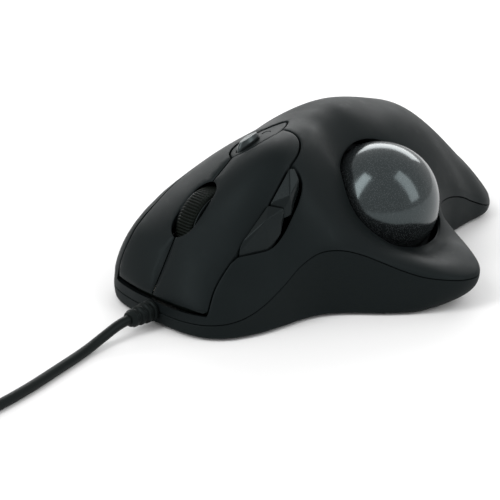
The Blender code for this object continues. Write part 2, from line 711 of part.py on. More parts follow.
def wheel(hub, tyre, steel, dark):
    rim = HUB_HALF
    half = [(1.8, rim - 0.2), (6.2, rim - 0.2), (6.8, rim - 1), (8.6, rim - 1), (9.2, rim), (10.3, rim)]
    half += [(10.3, rim - 0.35), (HUB_R, rim - 0.35)]
    profile = half + [(radius, -x) for radius, x in reversed(half)]
    across = (1, 0, 0)
    lathe("wheel_hub", profile, WHEEL, across, hub, 32, True, WHEEL)
    low = HUB_R + 0.3
    half = [(low, TYRE_HALF), (TYRE_R - 0.6, TYRE_HALF), (TYRE_R, TYRE_HALF - 0.8)]
    profile = half + [(radius, -x) for radius, x in reversed(half)]
    lathe("wheel_tyre", profile, WHEEL, across, tyre, 48, True, WHEEL)
    rod("wheel_axle", WHEEL - (7.4, 0, 0), WHEEL + (7.4, 0, 0), 1.5, steel, 16, WHEEL)
    front = WHEEL[1] + 3.4
    back = WHEEL[1] - TYRE_R - 4.4
    outline = [(-6.9, back), (6.9, back), (6.9, front), (4.5, front), (4.5, back + 3), (-4.5, back + 3)]
    outline += [(-4.5, front), (-6.9, front)]
    cradle = prism("wheel_cradle", outline, WHEEL[2] - 2.7, WHEEL[2] + 2.7, dark, CRADLE_PIVOT)
    hole = rod("cradle_bore", WHEEL - (12, 0, 0), WHEEL + (12, 0, 0), 1.9, dark)
    combine(cradle, hole)
    block("wheel_encoder", (9.7, 42.0, 18.7), (3.8, 6, 6.2), dark, pivot=CRADLE_PIVOT)


def switches(body, plunger):
    """Micro switches on the main board, and the posts under the keys that press them."""
    for name, x in (("left", -11.5), ("right", 11.5)):
        block(f"switch_{name}", (x, 50.5, 9.7), (5.8, 12.4, 6.0), body)
        rod(f"plunger_{name}", (x, POST_Y, 13.5), (x, POST_Y, 14.6), 1.0, plunger)
    block("switch_wheel", (6.6, 39.0, 8.5), (5.0, 6.0, 3.6), body)
    rod("plunger_wheel", (5.7, 40.4, 10.9), (5.7, 40.4, 18.7), 0.8, plunger)
    block("switch_dpi", (0, 28.6, 33.5), (5.0, 5.0, 2.4), body)
    rod("plunger_dpi", (0, 28.6, 35.3), (0, 28.6, 36.15), 0.8, plunger)


def key_posts(left, right, material):
    for obj, x in ((left, -11.5), (right, 11.5)):
        post = block(f"{obj.name}_post", (x, POST_Y, 18.2), (2.4, 2.4, 6.6), material, pivot=KEY_PIVOT)
        combine(obj, post, "UNION")


def sphere_profile(radius, count):
    """A half circle in equal steps, from the lower pole to the upper one."""
    turns = [math.pi * i / count for i in range(1, count)]
    bend = [(radius * math.sin(turn), -radius * math.cos(turn)) for turn in turns]
    return [(0, -radius), *bend, (0, radius)]


def ball_and_socket(gloss, dark, steel, lens, board, chip):
    lathe("ball", sphere_profile(BALL_R, 18), BALL, BALL_AXIS, gloss, 28, pivot=BALL)
    bowl = sphere_profile(CUP_INNER_R, 20)[:11] + sphere_profile(CUP_OUTER_R, 20)[10::-1]
    cup = lathe("ball_cup", bowl, BALL, BALL_AXIS, dark, 32)
    push = rod("push_bore", BALL - (0, 0, 30), BALL - (0, 0, 8), PUSH_HOLE_R, dark, 20)
    combine(cup, push)
    side, up, along = frame_of(BALL_AXIS)
    polar = math.radians(62)
    for number in range(3):
        turn = math.radians(90 + 120 * number)
        out = -along * math.cos(polar) + math.sin(polar) * (math.cos(turn) * side + math.sin(turn) * up)
        bore = rod(f"bearing_bore_{number + 1}", BALL + 15 * out, BALL + 22 * out, BEARING_R + 0.35, dark, 12)
        combine(cup, bore)
        seat = BALL + (BALL_R + BEARING_R + 0.2) * out
        lathe(f"bearing_ball_{number + 1}", sphere_profile(BEARING_R, 6), seat, out, steel, 10)
    look = SENSOR_LOOK
    window = rod("sensor_bore", BALL + 15 * look, BALL + 24 * look, 3.0, dark, 16)
    combine(cup, window)
    axes = frame_of(look)
    rod("sensor_window", BALL + 17.6 * look, BALL + 18.9 * look, 2.6, lens, 16)
    block("sensor_chip", BALL + 20.3 * look, (8, 6.5, 2.0), chip, axes)
    block("sensor_board", BALL + 22.3 * look, (15, 10, 1.2), board, axes)


def boards(board, chip, dark, ivory):
    outline = [(-15, 24), (15, 24), (15, 59), (9, 62), (-9, 62), (-15, 59)]
    prism("main_board", outline, 5.2, 6.4, board)
    block("controller_chip", (-5, 29, 7.3), (9, 7, 1.2), chip)
    block("cable_connector", (0, 59.3, 9.0), (9, 4, 4.6), ivory)
    block("board_rail_left", (-12.8, 42, 3.85), (2.4, 30, 2.1), dark)
    block("board_rail_right", (12.8, 42, 3.85), (2.4, 30, 2.1), dark)
    prism("panel_post", [(-3, 19.6), (3, 19.6), (3, 22.2), (-3, 22.2)], FLOOR_TOP + 0.3, 30.5, dark)


def fasteners(steel, dark):
    for number, (x, y) in enumerate(SCREWS, 1):
        top = 8.0
        profile = [(0, 1.15), (1.0, 1.15), (1.35, 1.35), (1.35, 2.1), (1.1, 2.3)]
        profile += [(1.1, top - 1), (0, top - 1)]
        lathe(f"base_screw_{number}", profile, (x, y, 0), (0, 0, 1), steel, 12)
        tube = [(1.4, FLOOR_TOP + 0.3), (3.0, FLOOR_TOP + 0.3), (3.0, top), (1.4, top)]
        lathe(f"screw_boss_{number}", tube, (x, y, 0), (0, 0, 1), dark, 16, True)


def feet(rubber):
    for number, (x, y, wide) in enumerate(FEET, 1):
        outline = oval((x, y), 3.4, 3.4, 20) if wide < 7 else long_foot(x, y, wide)
        prism(f"foot_{number}", outline, 0.0, BASE_BOTTOM - 0.3, rubber)


def long_foot(x, y, wide, deep=2.6):
    half = wide / 2
    ends = [(-1, math.pi / 2), (1, -math.pi / 2)]
    found = []
    for sign, start in ends:
        for i in range(9):
            turn = start + math.pi * i / 8
            found.append((x + sign * half + deep * math.cos(turn), y + deep * math.sin(turn)))
    return np.array(found)


# The cable, its strain relief, coil and plug

ROUTE = [
    (-0.8, 75.6, 4.4), (-0.8, 77.6, 4.25), (-0.8, 80, 3.8), (-0.9, 83, 3.0), (-1.1, 86, 2.3),
    (-1.6, 89.5, 1.7), (-2.3, 93, 1.45), (-3.2, 97, 1.4), (-4.2, 101.5, 1.4), (-5.3, 106.5, 1.4),
    (-6.5, 112, 1.4), (-7.6, 118, 1.4), (-8.4, 124, 1.4), (-8.9, 129.5, 1.4), (-9.1, 135, 1.4),
    (-9.2, 140.1, 1.4),
]


def strain_relief(rubber):
    start = 66.8
    profile = [(0, 0), (3.0, 0), (3.0, 0.9), (2.2, 1.1), (2.2, 1.7), (2.9, 2.0), (2.9, 2.9)]
    profile += [(2.1, 3.2), (2.1, 3.9), (2.7, 4.2), (2.7, 5.1), (2.0, 5.4), (2.0, 6.1), (2.5, 6.4)]
    profile += [(2.5, 7.3), (2.0, 8.5), (0, 8.5)]
    lathe("strain_relief", profile, (EXIT[0], start, EXIT[2]), (0, 1, 0), rubber, 20)


def cable(rubber):
    line = open_curve(ROUTE, 2)
    curve = bpy.data.curves.new("cable", "CURVE")
    curve.dimensions = "3D"
    curve.bevel_depth = CABLE_R * MM
    curve.bevel_resolution = 2
    curve.use_fill_caps = True
    spline = curve.splines.new("POLY")
    spline.points.add(len(line) - 1)
    for point, place in zip(spline.points, (line - CENTRE) * MM):
        point.co = (*place, 1)
    curve.materials.append(rubber)
    obj = bpy.data.objects.new("cable", curve)
    bpy.context.scene.collection.objects.link(obj)


def coil_and_plug(rubber, steel):
    low, high = COIL_MIDDLE_R - COIL_HALF, COIL_MIDDLE_R + COIL_HALF
    profile = [(low, 1.4), (low + 1.4, 0), (high - 1.4, 0), (high, 1.4), (high, COIL_TOP - 1.4)]
    profile += [(high - 1.4, COIL_TOP), (low + 1.4, COIL_TOP), (low, COIL_TOP - 1.4)]
    lathe("cable_coil", profile, COIL, (0, 0, 1), rubber, 32, True)
    ahead = np.array([math.sin(PLUG_TURN), -math.cos(PLUG_TURN), 0])
    aside = np.array([math.cos(PLUG_TURN), math.sin(PLUG_TURN), 0])
    upward = np.array([0.0, 0.0, 1.0])
    entry = COIL + aside * (high - CABLE_R) + ahead * 13.2 + upward * PLUG_HEIGHT
    rows = []
    sections = [(0.0, 4.6, 4.0), (3, 5.6, 4.6), (9, 7.2, 7.2), (11, 15.6, 7.8), (33, 15.6, 7.8)]
    for reach, wide, tall in sections:
        quarter = [(wide / 2 - 1.1, tall / 2), (wide / 2, tall / 2 - 1.1)]
        half = quarter + [(a, -b) for a, b in reversed(quarter)]
        ring = half + [(-a, b) for a, b in reversed(half)]
        rows.append(np.array([entry + ahead * reach + aside * a + upward * b for a, b in ring]))
    stack("plug_grip", rows, rubber)
    axes = np.array([aside, ahead, upward])
    tongue = block("plug_shell", entry + ahead * 42.8, (12.0, 19.0, 4.5), steel, axes)
    mouth = block("plug_mouth", entry + ahead * 47.3 - upward * 0.6, (11.2, 14.0, 2.0), steel, axes)
    combine(tongue, mouth)


def main():
    clear_scene()
    body = plastic("soft_black", BLACK, 0.55)
    gloss = plastic("gloss_black", (0.01, 0.011, 0.012), 0.18)
    dark = plastic("inner_black", (0.008, 0.008, 0.009), 0.7)
    rubber = plastic("rubber", (0.014, 0.014, 0.014), 0.75)
    ball = plastic("ball_grey", (0.035, 0.036, 0.038), 0.12)
    steel = plastic("steel", (0.56, 0.56, 0.57), 0.25, 1.0)
    board = plastic("board_green", (0.01, 0.07, 0.03), 0.5)
    chip = plastic("chip", (0.015, 0.015, 0.016), 0.4)
    lens = plastic("lens", (0.3, 0.02, 0.02), 0.1)
    ivory = plastic("ivory", (0.7, 0.68, 0.6), 0.4)
    lamp = plastic("lamp", (0.02, 0.025, 0.03), 0.08)

    top_cover(body)
    base_shell(plastic("base_black", (0.011, 0.013, 0.014), 0.6))
    left = key("left_key", LEFT_SIDE, LEFT_REAR, True, body)
    right = key("right_key", RIGHT_SIDE, RIGHT_REAR, False, body)
    key_posts(left, right, body)
    centre_panel(gloss)
    small_pieces_of_panel(gloss, lamp, board)
    thumb_keys(gloss, dark, chip, ivory)
    wheel(gloss, rubber, steel, dark)
    switches(chip, ivory)
    ball_and_socket(ball, dark, steel, lens, board, chip)
    boards(board, chip, dark, ivory)
    fasteners(steel, dark)
    feet(rubber)
    strain_relief(rubber)
    cable(rubber)
    coil_and_plug(rubber, steel)


main()
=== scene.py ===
"""Look of the wired thumb trackball mouse: finer outside pieces, finishes, cable, lights and camera.

Lengths are millimetres in the mouse's own frame, where x = 0 is the wheel's middle plane, z = 0 the desk,
-X the thumb side and +Y the front. make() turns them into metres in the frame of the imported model.
"""

import math

import bpy
import numpy as np
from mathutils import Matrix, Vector, geometry


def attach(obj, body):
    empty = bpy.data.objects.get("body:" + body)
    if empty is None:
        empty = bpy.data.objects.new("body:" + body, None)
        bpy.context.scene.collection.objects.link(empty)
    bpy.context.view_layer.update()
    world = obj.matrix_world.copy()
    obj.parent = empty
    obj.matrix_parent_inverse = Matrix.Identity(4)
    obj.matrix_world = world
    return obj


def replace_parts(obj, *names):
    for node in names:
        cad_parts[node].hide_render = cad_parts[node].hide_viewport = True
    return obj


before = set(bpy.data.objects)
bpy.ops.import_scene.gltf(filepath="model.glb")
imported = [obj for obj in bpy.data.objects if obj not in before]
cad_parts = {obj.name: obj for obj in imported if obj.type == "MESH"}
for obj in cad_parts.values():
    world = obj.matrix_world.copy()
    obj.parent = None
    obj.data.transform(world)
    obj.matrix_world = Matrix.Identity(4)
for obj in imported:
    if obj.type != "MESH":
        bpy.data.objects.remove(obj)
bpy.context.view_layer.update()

MM = 0.001
CENTRE = np.array([-11.99, -1.07, 0.0])

# Shells
WALL = 1.8
GAP = 0.4  # between neighbours at a seam
SHOULDER = 8.0  # width over which the skin turns down to its rim
FILLET = 0.42  # round of the skins' edges at the seams
BASE_BOTTOM = 0.7
FLOOR_TOP = 2.5
LIP_INSET = 0.38  # how far the cover's front edge stands inside the rim
KEY_INSET = 0.8  # how far the keys' front edge does
KEY_LOWEST = 8.4
PER = 6  # points for each stretch of a drawn curve
LATTICE = 1.9  # spacing of the points inside a skin
UNDER_LATTICE = 7.0

# Ball
BALL_R = 17.0
BALL = np.array([-20.5, -4.4, 21.0])
BALL_AXIS = np.array([-0.711, -0.074, 0.699]) / np.linalg.norm([-0.711, -0.074, 0.699])
OPENING_R = 17.9
PUSH_HOLE_R = 5.5

# Wheel
WHEEL = np.array([0.0, 43.3, 21.7])
TYRE_R = 11.0
TYRE_HALF = 2.85
HUB_R = 9.6
HUB_HALF = 3.5
RIBS = 76
RIB_DEPTH = 0.34

# Posts under the main keys, on the switches' plungers
POST_X = 11.5
POST_Y = 53.0
POST_HALF = 1.2
POST_ROWS = ((14.9, 0.8 * POST_HALF), (15.15, POST_HALF), (21.5, POST_HALF))  # height and half width

# Cable
CABLE_R = 1.4
EXIT = np.array([-0.8, 75.6, 4.4])
COIL = np.array([12.0, 151.5, 0.0])
COIL_MIDDLE_R = 15.5
PLUG_HEIGHT = 4.2
PLUG_TURN = math.radians(30)

SHARP = math.radians(35)  # edges bent more than this are not smoothed

# Rim where the cover meets the base, x, y and height, from the right front corner round by the thumb lobe.
# Numbers 0 and 5 are the front corners, and number 2 is on the middle plane.
RIM = [
    (16.9, 63.8, 4.7), (8, 66.0, 4.6), (0, 66.4, 4.6), (-6.5, 66.4, 4.6), (-12.5, 65.8, 4.6),
    (-18.6, 63.6, 4.8), (-22.8, 59.4, 5.2), (-25.2, 54.4, 6.4), (-26.8, 49, 9), (-27.8, 43, 12.8),
    (-28.6, 37, 17), (-30.4, 31.5, 19.4), (-33.6, 27, 19.6), (-37.4, 23.2, 18.4), (-41.6, 19.8, 16.4),
    (-46, 16, 14), (-50.4, 11.8, 12), (-54.2, 7.2, 10.9), (-56.8, 1.8, 10), (-56.8, -4, 9.5),
    (-53, -9.2, 9.8), (-45.5, -14, 11), (-37, -18, 12.5), (-29.5, -22, 14), (-24.6, -27.5, 14.6),
    (-22.6, -34, 14), (-21.8, -41, 11.8), (-21, -48, 8), (-20.4, -56, 4.4), (-16, -62.4, 3.6),
    (-6.5, -67.4, 3.4), (4, -68.6, 3.4), (14, -66, 3.8), (23, -58, 4.6), (29, -45, 5.6),
    (32, -28, 6.6), (33.2, -8, 7), (32.6, 12, 7), (30.4, 32, 6.6), (27, 48, 5.8), (22.3, 59.1, 5),
]
# Outline of the base near the desk, point for point under RIM.
BOTTOM = [
    (16.6, 63.5), (7.9, 65.7), (0, 66.2), (-6.5, 66.2), (-12.5, 65.7),
    (-18.7, 63.6), (-23.1, 59.5), (-25.7, 54.5), (-27.4, 49.0), (-28.5, 42.9),
    (-29.4, 36.9), (-31.2, 31.4), (-34.3, 26.9), (-38.0, 23.2), (-42.0, 19.6),
    (-45.8, 15.6), (-48.8, 11.4), (-50.0, 6.5), (-48.9, 1.3), (-46.4, -3.0),
    (-42.8, -6.8), (-39.0, -11.2), (-33.6, -15.4), (-27.9, -20.2), (-23.6, -26.6),
    (-21.6, -33.6), (-20.6, -41), (-19.8, -48), (-19.2, -55.4), (-15.2, -61.4),
    (-6.2, -66.4), (4, -67.6), (13.5, -65.2), (22.1, -57.4), (28.0, -44.6),
    (31.0, -28), (32.2, -8), (31.6, 12), (29.4, 31.8), (26.2, 47.7), (21.7, 58.7),
]
# Heights of the skin away from its rim: nose, middle, left flank, lobe, round the ball, hump, tail and
# right flank.
CROWN = [
    (0, 66.2, 14.6), (-12, 65.6, 14.0), (12, 65.2, 16), (0, 60.5, 18.6), (-17, 59, 15.3), (17, 59, 19.4),
    (0, 56.8, 23.0), (0, 50, 29), (0, 42.6, 34.8), (0, 35.2, 39.6), (0, 25, 43), (0, 13.6, 44.4),
    (-17.5, 52.2, 20.7), (-23, 52, 14.8), (-18, 42, 29.6), (-23, 42, 22.5), (-28, 42, 17), (-17, 30.5, 39.5),
    (-23, 30.5, 31.5), (-30, 30, 23), (-6, 18.8, 44.6), (-12, 20.6, 43.7), (-19, 21, 37.5), (-26, 22, 28),
    (-32, 22, 22.5), (-37, 21, 20), (-10, 13, 44), (-17.5, 13, 36.5), (-36, 13, 18.5), (-44, 9, 15.5),
    (-50, 6, 13.8), (-46, -2, 12.6), (-52, -2, 12.4), (-44, -10, 13),
    (-26, 13.1, 24.6), (-16.6, 8.8, 33.7), (-34.3, 6.9, 15.5), (-36.6, -6.1, 11.7), (-31.6, -18.4, 15.5),
    (-11.6, -3.5, 37.4), (-13.9, -16.5, 33.7), (-22.3, -22.7, 24.6),
    (-4, 4, 45.2), (2, 2, 44.8), (-4, -5, 44.6), (0, -14, 43.8), (-5, -20, 40), (-18, -32, 26),
    (-10, -34, 33), (0, -34, 37.8), (8, -30, 38.6), (0, -48, 28.5), (-10, -48, 23.2), (-17, -45, 18.4),
    (0, -60, 17), (-10, -58, 14.4), (-17, -55, 12.4), (10, -50, 27), (14, -60, 16), (22, -48, 20),
    (0, -66, 12),
    (18, 52, 22.8), (24, 50, 20), (20, 38, 27.4), (26, 38, 22), (14, 28, 35), (22, 22, 29.5), (28, 18, 23.5),
    (14, 8, 38.2), (22, 2, 33.4), (29, 0, 26), (16, -14, 38.6), (24, -18, 32.5), (29, -24, 24),
    (16, -34, 33.5), (24, -36, 24),
]

# Edges of the keys and the panel, seen from above.
LEFT_SIDE = [(-18.1, 62.6), (-17.2, 59), (-17.4, 52.2), (-18.0, 42), (-17.7, 37), (-16.8, 30.3)]
LEFT_REAR = [(-16.8, 30.3), (-14.8, 24.4), (-12.3, 21), (-9.4, 19.5), (-6.2, 18.9), (-4.4, 18.95)]
RIGHT_SIDE = [(16.0, 62.9), (15.4, 59), (15.9, 52), (17.0, 42), (16.8, 37), (15.9, 30.3)]
RIGHT_REAR = [(15.9, 30.3), (13.8, 24.2), (11.2, 20.8), (8.6, 19.4), (6.0, 18.9), (4.4, 18.95)]
PANEL_SIDE = [(3.5, 18.8), (4.3, 22), (4.6, 26.5), (4.0, 30.4), (2.4, 33.0), (0.3, 34.6)]
PANEL_TAIL = [(-3.5, 18.8), (-2.3, 15.9), (0, 13.2), (2.3, 15.9), (3.5, 18.8)]
PANEL_TIP = 34.7
SEAM_END = 35.2  # rear end of the seam between the keys
# One side of the wheel's slot from its rear, on the keys' outside and on their underside.
SLOT_SIDE = [
    (0.2, 42.3), (1.3, 42.6), (2.6, 43.4), (3.6, 44.7), (3.9, 46.5), (3.9, 53.0), (3.4, 54.6), (2.4, 55.8),
    (1.2, 56.6), (0.2, 56.9),
]
SLOT_UNDER = [
    (0.2, 40.8), (1.5, 40.8), (3.0, 40.9), (4.0, 41.8), (4.0, 45.5), (4.0, 53.2), (3.6, 54.9), (2.6, 56.2),
    (1.3, 57.0), (0.2, 57.3),
]
# The cover's edge round the thumb keys, from the left key's side and back to it.
WINDOW = [
    (-18.3, 51.2), (-20.6, 47.2), (-22.4, 43.2), (-23.1, 39.3), (-22.9, 35.4),
    (-22.1, 31.4), (-20.4, 28.5), (-18.6, 27.9), (-16.7, 28.3),
]


# Curves


def catmull(p0, p1, p2, p3, count):
    """Centripetal Catmull-Rom from p1 up to, but not at, p2."""
    t1 = np.linalg.norm(p1 - p0) ** 0.5
    t2 = t1 + np.linalg.norm(p2 - p1) ** 0.5
    t3 = t2 + np.linalg.norm(p3 - p2) ** 0.5
    found = []
    for step in range(count):
        t = t1 + (t2 - t1) * step / count
        a1 = (t1 - t) / t1 * p0 + t / t1 * p1
        a2 = (t2 - t) / (t2 - t1) * p1 + (t - t1) / (t2 - t1) * p2
        a3 = (t3 - t) / (t3 - t2) * p2 + (t - t2) / (t3 - t2) * p3
        b1 = (t2 - t) / t2 * a1 + t / t2 * a2
        b2 = (t3 - t) / (t3 - t1) * a2 + (t - t1) / (t3 - t1) * a3
        found.append((t2 - t) / (t2 - t1) * b1 + (t - t1) / (t2 - t1) * b2)
    return found


def closed_curve(points, per):
    points = np.array(points, float)
    count = len(points)
    found = []
    for i in range(count):
        found += catmull(points[i - 1], points[i], points[(i + 1) % count], points[(i + 2) % count], per)
    return np.array(found)


def open_curve(points, per):
    points = np.array(points, float)
    ends = np.vstack([2 * points[0] - points[1], points, 2 * points[-1] - points[-2]])
    found = []
    for i in range(1, len(ends) - 2):
        found += catmull(ends[i - 1], ends[i], ends[i + 1], ends[i + 2], per)
    found.append(points[-1])
    return np.array(found)


def mirrored(points):
    return [(-x, y) for x, y in points]


def inward(curve):
    """Unit normals in plan of a closed curve that runs anticlockwise, pointing inside."""
    along = np.roll(curve[:, :2], -1, 0) - np.roll(curve[:, :2], 1, 0)
    along /= np.linalg.norm(along, axis=1)[:, None]
    return np.stack([-along[:, 1], along[:, 0]], 1)


def beside(curve, distance):
    """An open plan curve moved to its left by distance."""
    along = np.gradient(curve[:, :2], axis=0)
    along /= np.linalg.norm(along, axis=1)[:, None]
    return curve[:, :2] + distance * np.stack([-along[:, 1], along[:, 0]], 1)


# The skin


def spline_kernel(squared):
    return 0.5 * squared * np.log(np.maximum(squared, 1e-12))


def fit_crown(points):
    """Thin-plate spline through the crown's points."""
    points = np.array(points, float)
    count = len(points)
    squared = ((points[:, None, :2] - points[None, :, :2]) ** 2).sum(2)
    system = np.zeros((count + 3, count + 3))
    system[:count, :count] = spline_kernel(squared)
    system[:count, count] = 1
    system[:count, count + 1 :] = points[:, :2]
    system[count:, :count] = system[:count, count:].T
    return points, np.linalg.solve(system, np.r_[points[:, 2], 0, 0, 0])


CROWN_POINTS, CROWN_WEIGHTS = fit_crown(CROWN)
RIM_CURVE = closed_curve(RIM, PER)


def crown_height(plan):
    squared = ((plan[:, None] - CROWN_POINTS[None, :, :2]) ** 2).sum(2)
    return spline_kernel(squared) @ CROWN_WEIGHTS[:-3] + CROWN_WEIGHTS[-3] + plan @ CROWN_WEIGHTS[-2:]


def rim_near(plan):
    """How far each plan point is from the rim, and the height of the rim beside it."""
    start = RIM_CURVE
    step = np.roll(start, -1, 0) - start
    part = ((plan[:, None] - start[None, :, :2]) * step[:, :2]).sum(2) / (step[:, :2] ** 2).sum(1)
    part = np.clip(part, 0, 1)
    nearest = start[None, :, :2] + part[..., None] * step[:, :2]
    distance = np.sqrt(((plan[:, None] - nearest) ** 2).sum(2))
    weight = np.maximum(distance, 1e-6) ** -4
    height = (weight * (start[None, :, 2] + part * step[:, 2])).sum(1) / weight.sum(1)
    return distance.min(1), height


def skin(plan, depth=0.0):
    """Height of the skin's outside over each plan point, or of the surface this far under it."""
    plan = np.atleast_2d(np.array(plan, float))[:, :2]
    distance, rim = rim_near(plan)
    top = crown_height(plan)
    if depth:
        east = crown_height(plan + (0.5, 0)) - crown_height(plan - (0.5, 0))
        north = crown_height(plan + (0, 0.5)) - crown_height(plan - (0, 0.5))
        top = top - depth * np.sqrt(1 + east**2 + north**2)
    across = np.clip((distance - depth) / SHOULDER, 0, 1)
    return rim + (np.maximum(top, rim + 0.5) - rim) * np.sqrt(1 - (1 - across) ** 2)


def inside(loops, points):
    """Which plan points lie in the region that the loops bound, holes left out."""
    hit = np.zeros(len(points), bool)
    for loop in loops:
        x0, y0 = loop[:, 0], loop[:, 1]
        x1, y1 = np.roll(x0, -1), np.roll(y0, -1)
        px, py = points[:, 0, None], points[:, 1, None]
        crosses = (y0 > py) != (y1 > py)
        at = x0 + (py - y0) * (x1 - x0) / np.where(y1 == y0, 1e-9, y1 - y0)
        hit ^= (crosses & (px < at)).sum(1) % 2 == 1
    return hit


def clearance(loops, points):
    found = np.full(len(points), np.inf)
    for loop in loops:
        step = np.roll(loop, -1, 0) - loop
        part = ((points[:, None] - loop) * step).sum(2) / np.maximum((step**2).sum(1), 1e-9)
        nearest = loop + np.clip(part, 0, 1)[..., None] * step
        found = np.minimum(found, np.sqrt(((points[:, None] - nearest) ** 2).sum(2)).min(1))
    return found


def inner_points(loops, spacing, rings=()):
    """Points to shape a skin with: rows beside the rim, then a lattice."""
    kept = np.zeros((0, 2))
    for inset in rings:
        row = RIM_CURVE[:, :2] + inset * inward(RIM_CURVE)
        row = row[inside(loops, row)]
        kept = np.vstack([kept, row[clearance(loops, row) > 0.35 * inset + 0.2]])
    low, high = loops[0].min(0), loops[0].max(0)
    rows = []
    for row, y in enumerate(np.arange(low[1], high[1], spacing * 0.866)):
        for x in np.arange(low[0] + spacing / 2 * (row % 2), high[0], spacing):
            rows.append((x, y))
    grid = np.array(rows)
    grid = grid[inside(loops, grid)]
    grid = grid[clearance(loops, grid) > 0.45 * spacing]
    if len(kept):
        apart = np.sqrt(((grid[:, None] - kept) ** 2).sum(2)).min(1)
        grid = grid[apart > 0.5 * spacing]
    return np.vstack([kept, grid])


def triangles(loops, more):
    """Triangles over the plan region that the loops bound, through the points of more."""
    points = np.vstack([*loops, more])
    edges = []
    first = 0
    for loop in loops:
        edges += [(first + i, first + (i + 1) % len(loop)) for i in range(len(loop))]
        first += len(loop)
    made = geometry.delaunay_2d_cdt([Vector(p) for p in points.tolist()], edges, [], 0, 1e-7)
    origin = [source[0] for source in made[3]]
    faces = np.array([[origin[i] for i in face] for face in made[2]])
    return faces[inside(loops, points[faces].mean(1))]


def shell(name, outer, inner, outer_more, inner_more, material, body):
    """A closed skin from 3D loops, outer and inner ones in pairs, and the 3D points between them."""
    top_faces = triangles([loop[:, :2] for loop in outer], outer_more[:, :2])
    low_faces = triangles([loop[:, :2] for loop in inner], inner_more[:, :2])
    count = sum(len(loop) for loop in outer) + len(outer_more)
    faces = top_faces.tolist() + (low_faces[:, ::-1] + count).tolist()
    first = 0
    for loop in outer:
        size = len(loop)
        for i in range(size):
            a, b = first + i, first + (i + 1) % size
            faces.append((b, a, a + count))
            faces.append((b, a + count, b + count))
        first += size
    points = np.vstack([*outer, outer_more, *inner, inner_more])
    return make(name, points, turned_alike(faces), material, body)


def turned_alike(faces):
    """Faces flipped where needed so that neighbours run the same way round."""
    faces = [list(face) for face in faces]
    sides = {}
    for number, face in enumerate(faces):
        for a, b in zip(face, face[1:] + face[:1]):
            sides.setdefault(frozenset((a, b)), []).append((number, (a, b)))
    done = {0}
    queue = [0]
    while queue:
        number = queue.pop()
        face = faces[number]
        for a, b in zip(face, face[1:] + face[:1]):
            for other, _ in sides[frozenset((a, b))]:
                if other in done:
                    continue
                theirs = faces[other]
                if (a, b) in list(zip(theirs, theirs[1:] + theirs[:1])):
                    theirs.reverse()
                done.add(other)
                queue.append(other)
    return faces


# Meshes


def make(name, points, faces, material, body):
    """A piece that rides on body, with its faces turned outwards."""
    points = (np.array(points, float) - CENTRE) * MM
    if volume(points, faces) < 0:
        faces = [tuple(reversed(face)) for face in faces]
    mesh = bpy.data.meshes.new(name)
    mesh.from_pydata(points.tolist(), [], [tuple(map(int, face)) for face in faces])
    mesh.materials.append(material)
    mesh.shade_smooth()
    mesh.set_sharp_from_angle(angle=SHARP)
    obj = bpy.data.objects.new(name, mesh)
    bpy.context.scene.collection.objects.link(obj)
    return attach(obj, body)


def volume(points, faces):
    total = 0.0
    for face in faces:
        for second, third in zip(face[1:], face[2:]):
            total += np.dot(points[face[0]], np.cross(points[second], points[third]))
    return total


def lifted(plan, depth=0.0, lowest=-99.0):
    plan = np.array(plan, float)[:, :2]
    return np.column_stack([plan, np.maximum(skin(plan, depth), lowest)])


def edge_rows(loops, edges):
    """Rows of points just inside a region, along those of its edges that get a round."""
    rows = [np.zeros((0, 2))]
    for edge in edges:
        for inset in (0.06, 0.17, FILLET):
            for side in (1, -1):
                row = edge[:, :2] + side * inset * inward(edge)
                row = row[inside(loops, row)]
                rows.append(row[clearance(loops, row) > 0.85 * inset])
    return np.vstack(rows)


def rounded(points, edges):
    """Points of a skin, sunk where they are near one of the edges."""
    near = np.clip(clearance([edge[:, :2] for edge in edges], points[:, :2]), 0, FILLET)
    sunk = FILLET - np.sqrt(FILLET**2 - (FILLET - near) ** 2)
    return points - sunk[:, None] * (0, 0, 1)


def frame_of(axis):
    axis = np.array(axis, float) / np.linalg.norm(axis)
    helper = np.array([0.0, 0.0, 1.0]) if abs(axis[2]) < 0.9 else np.array([1.0, 0.0, 0.0])
    side = np.cross(helper, axis)
    side /= np.linalg.norm(side)
    return side, np.cross(axis, side), axis


def lathe(name, profile, origin, axis, material, body, sides=64, closed=False, ribs=0):
    """profile is (radius, height) pairs turned round axis. ribs is how many waves go round its outer part."""
    side, up, along = frame_of(axis)
    origin = np.array(origin, float)
    points = []
    rows = []
    for radius, height in profile:
        count = 1 if radius == 0 else sides
        rows.append(list(range(len(points), len(points) + count)))
        for i in range(count):
            angle = 2 * math.pi * i / sides
            reach = radius
            if ribs and radius > TYRE_R - 1.0:
                reach -= RIB_DEPTH * (0.5 - 0.5 * math.cos(ribs * angle)) ** 2
            points.append(origin + height * along + reach * (math.cos(angle) * side + math.sin(angle) * up))
    faces = []
    pairs = list(zip(rows, rows[1:])) + ([(rows[-1], rows[0])] if closed else [])
    for low, high in pairs:
        for i in range(sides):
            j = (i + 1) % sides
            if len(low) == 1:
                faces.append((low[0], high[j], high[i]))
            elif len(high) == 1:
                faces.append((low[i], low[j], high[0]))
            else:
                faces.append((low[i], low[j], high[j], high[i]))
    return make(name, points, faces, material, body)


def stack(name, rows, material, body):
    """Loops of equal count joined from the first to the last, with both ends closed."""
    count = len(rows[0])
    faces = [tuple(range(count)), tuple(range((len(rows) - 1) * count, len(rows) * count))[::-1]]
    for row in range(len(rows) - 1):
        for i in range(count):
            a, b = row * count + i, row * count + (i + 1) % count
            faces.append((a, a + count, b + count, b))
    return make(name, np.vstack(rows), faces, material, body)


